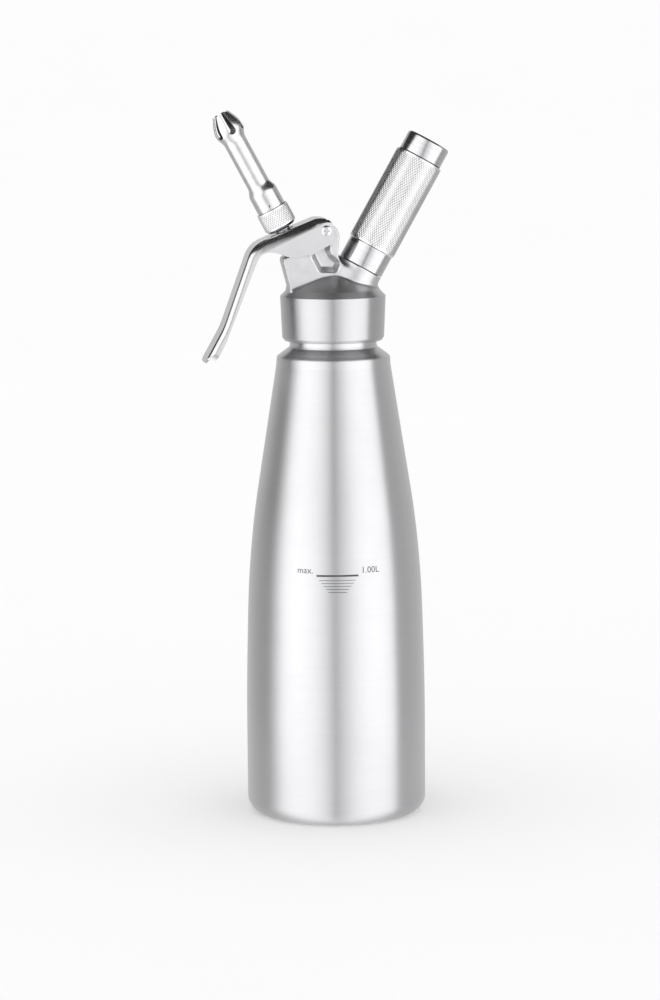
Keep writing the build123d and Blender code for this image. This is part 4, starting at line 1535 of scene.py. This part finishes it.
DRESSINGS = [
    Dressing(TURNED_STEEL, ("neck_ring", "pivot_nut")),
    Dressing(TURNED_STEEL, ("valve_guide", "valve_stem"), VALVE_AXIS),
    Dressing(TURNED_STEEL, ("inlet_nut",), HOLDER_AXIS),
    Dressing(LEVER_STEEL, ("lever",)),
    Dressing(WIRE_STEEL, ("piercing_pin",)),
    Dressing(CHARGER_STEEL, ("gas_charger",), HOLDER_AXIS),
    Dressing(SILICONE, ("head_gasket",)),
    Dressing(RUBBER, ("charger_seal", "check_disc", "valve_seal", "stem_o_ring", "nozzle_gasket")),
    Dressing(NYLON, ("pivot_washers",)),
]


# ---------------------------------------------------------------- the studio


# Surroundings that metal shows: azimuth from the camera's side, tone, and elevation where they end
SURROUND = [
    (-180, 0.75, 29),
    (-150, 0.68, 26),
    (-125, 0.6, 13),
    (-98, 0.54, 10),
    (-90, 0.85, 18),
    (-72, 1.9, 38),
    (-50, 1.95, 41),
    (-36, 1.86, 41),
    (-24, 1.72, 41),
    (-14, 1.42, 39),
    (-8, 1.24, 36),
    (-4, 0.9, 34),
    (-1.5, 0.42, 34),
    (1.5, 0.42, 34),
    (4, 0.9, 34),
    (8, 1.16, 36),
    (14, 1.22, 39),
    (24, 1.62, 41),
    (36, 1.84, 41),
    (50, 1.92, 41),
    (82, 1.85, 36),
    (88, 0.56, 30),
    (150, 0.68, 32),
    (180, 0.75, 29),
]


@dataclass
class Studio:
    """A pool of pale floor, soft surroundings and the camera."""

    distance: float = 1.895
    height: float = 0.441
    azimuth: float = -7.0
    pitch: float = 7.97
    roll: float = 0.45
    focal_pixels: float = 3430.0
    picture_height: float = 1000.0
    sensor: float = 36.0
    axis_offset_pixels: float = 4.4
    clip: Point2 = (0.05, 60.0)
    near: float = -12.0
    far: float = 4.0
    half_width: float = 14.0
    sweep: float = 1.5
    paleness: float = 0.985
    patchiness: float = 0.004
    patch_scale: float = 3.0
    floor_roughness: float = 0.9
    pool_slope: float = 0.0962
    pool_margin: float = 0.02
    pool_fade: float = 0.06
    pool_near: float = 1.42
    pool_clear: float = 0.7
    overhead: float = 0.045
    brim: Point2 = (-2.5, 3.0)

    def directions(self) -> tuple[Vector, Vector]:
        """Returns the level directions from the object to the camera and to the picture's right."""
        turn = math.radians(self.azimuth)
        return Vector((math.sin(turn), -math.cos(turn), 0.0)), Vector((math.cos(turn), math.sin(turn), 0.0))

    def paint(self) -> bpy.types.Material:
        """Makes the floor's paint, which glossy rays see only in a pool round the object.

        Returns:
            The material.
        """
        paint = bpy.data.materials.new("pale_paint")
        paint.use_nodes = True
        shader = paint.node_tree.nodes["Principled BSDF"]
        nodes = Nodes(paint.node_tree)
        place = nodes.out("ShaderNodeTexCoord", output="Object")
        tones = (self.paleness - self.patchiness, self.paleness + self.patchiness)
        tone = nodes.remap(nodes.noise(place, self.patch_scale), NOISE_MIDDLE, tones)
        nodes.link(nodes.point(tone, tone, tone), shader.inputs["Base Color"])
        nodes.link(self.floor_roughness, shader.inputs["Roughness"])
        nodes.link(0.0, shader.inputs["Specular IOR Level"])
        away, aside = (nodes.dot(place, toward) for toward in self.directions())
        depth = self.distance - away
        room = depth * self.pool_slope + (self.pool_margin + self.pool_fade) - nodes.math("ABSOLUTE", aside)
        near = (self.pool_near, self.pool_near + self.pool_fade)
        lit = nodes.remap(room, (0.0, self.pool_fade), smooth=True) * nodes.remap(depth, near, smooth=True)
        mirrored = nodes.out("ShaderNodeLightPath", output="Is Glossy Ray")
        solid = 1.0 - mirrored * (lit * (self.pool_clear - 1.0) + 1.0)
        clear = nodes.out("ShaderNodeBsdfTransparent")
        pool = nodes.out("ShaderNodeMixShader", {0: solid, 1: clear, 2: shader.outputs[0]})
        nodes.link(pool, paint.node_tree.nodes["Material Output"].inputs["Surface"])
        return paint

    def floor(self) -> None:
        """Makes the floor, which sweeps up behind the object."""
        rise = [(math.sin(a), 1 - math.cos(a)) for a in np.linspace(0.1, math.pi / 2, 12)]
        path = [(self.near, 0.0), (self.far, 0.0)]
        path += [(self.far + self.sweep * away, self.sweep * up) for away, up in rise]
        vertices = np.array([(x, y, z) for y, z in path for x in (-self.half_width, self.half_width)])
        faces = [(2 * i, 2 * i + 1, 2 * i + 3, 2 * i + 2) for i in range(len(path) - 1)]
        new_piece("studio_floor", vertices, faces, Matrix.Identity(4), self.paint())

    def surroundings(self) -> None:
        """Makes the soft light: an even sky for matt surfaces, and panels for metal to reflect."""
        world = bpy.data.worlds.new("studio")
        bpy.context.scene.world = world
        world.use_nodes = True
        world.cycles.sampling_method = "NONE"
        world.node_tree.nodes.clear()
        nodes = Nodes(world.node_tree)
        way = nodes.out("ShaderNodeTexCoord", output="Generated")
        ahead, aside = (nodes.dot(way, toward) for toward in self.directions())
        angle = nodes.remap(nodes.math("ARCTAN2", aside, ahead), (-math.pi, math.pi))
        ramp = nodes.add("ShaderNodeValToRGB", {0: angle})
        strip = ramp.color_ramp
        while len(strip.elements) < len(SURROUND):
            strip.elements.new(0.5)
        peak = max(tone for _, tone, _ in SURROUND)
        for element, (degrees, tone, brim) in zip(strip.elements, SURROUND):
            element.position = (degrees + 180) / 360
            element.color = (tone / peak,) * 3 + (brim / 90,)
        walls = nodes.math("MULTIPLY", ramp.outputs[0], peak)
        up = nodes.math("ARCSINE", nodes.parts(way)[2])
        above = nodes.math("MULTIPLY_ADD", ramp.outputs[1], -math.pi / 2, up)
        brim = tuple(math.radians(degrees) for degrees in self.brim)
        past = nodes.remap(above, brim, smooth=True)
        seen = nodes.out("ShaderNodeMix", {0: past, 2: walls, 3: self.overhead}, data_type="FLOAT")
        rays = nodes.add("ShaderNodeLightPath").outputs
        shown = nodes.math("MAXIMUM", rays["Is Glossy Ray"], rays["Is Transmission Ray"])
        level = nodes.out("ShaderNodeMix", {0: shown, 2: 1.0, 3: seen}, data_type="FLOAT")
        sky = nodes.out("ShaderNodeBackground", {0: (1, 1, 1, 1), 1: level})
        nodes.add("ShaderNodeOutputWorld", {0: sky})

    def camera(self) -> None:
        """Sets the camera up."""
        data = bpy.data.cameras.new("camera")
        data.sensor_width = self.sensor
        data.lens = self.focal_pixels / self.picture_height * self.sensor
        data.clip_start, data.clip_end = self.clip
        upward = Vector((0, 0, 1))
        tip, lean = math.radians(self.pitch), math.radians(self.roll)
        outward, right = self.directions()
        ahead = -outward * math.cos(tip) - upward * math.sin(tip)
        ahead = (ahead - right * self.axis_offset_pixels / self.focal_pixels).normalized()
        right = ahead.cross(upward).normalized()
        top = right.cross(ahead) * math.cos(lean) + right * math.sin(lean)
        turned = Matrix((ahead.cross(top), top, -ahead)).transposed().to_4x4()
        camera = placed("camera", data)
        camera.matrix_world = Matrix.Translation(outward * self.distance + upward * self.height) @ turned
        bpy.context.scene.camera = camera

    def build(self) -> None:
        """Makes the whole studio."""
        self.floor()
        self.surroundings()
        self.camera()
        bpy.context.scene.view_settings.view_transform = "Standard"


def main() -> None:
    """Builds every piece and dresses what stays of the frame."""
    logging.basicConfig(level=logging.INFO, format="%(name)s: %(message)s")
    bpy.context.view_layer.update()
    for assembly in (Studio(), Bottle(), Head(), Valve(), Nozzle(), Holder()):
        assembly.build()
    for dressing in DRESSINGS:
        dressing.apply()


if __name__ == "__main__":
    main()
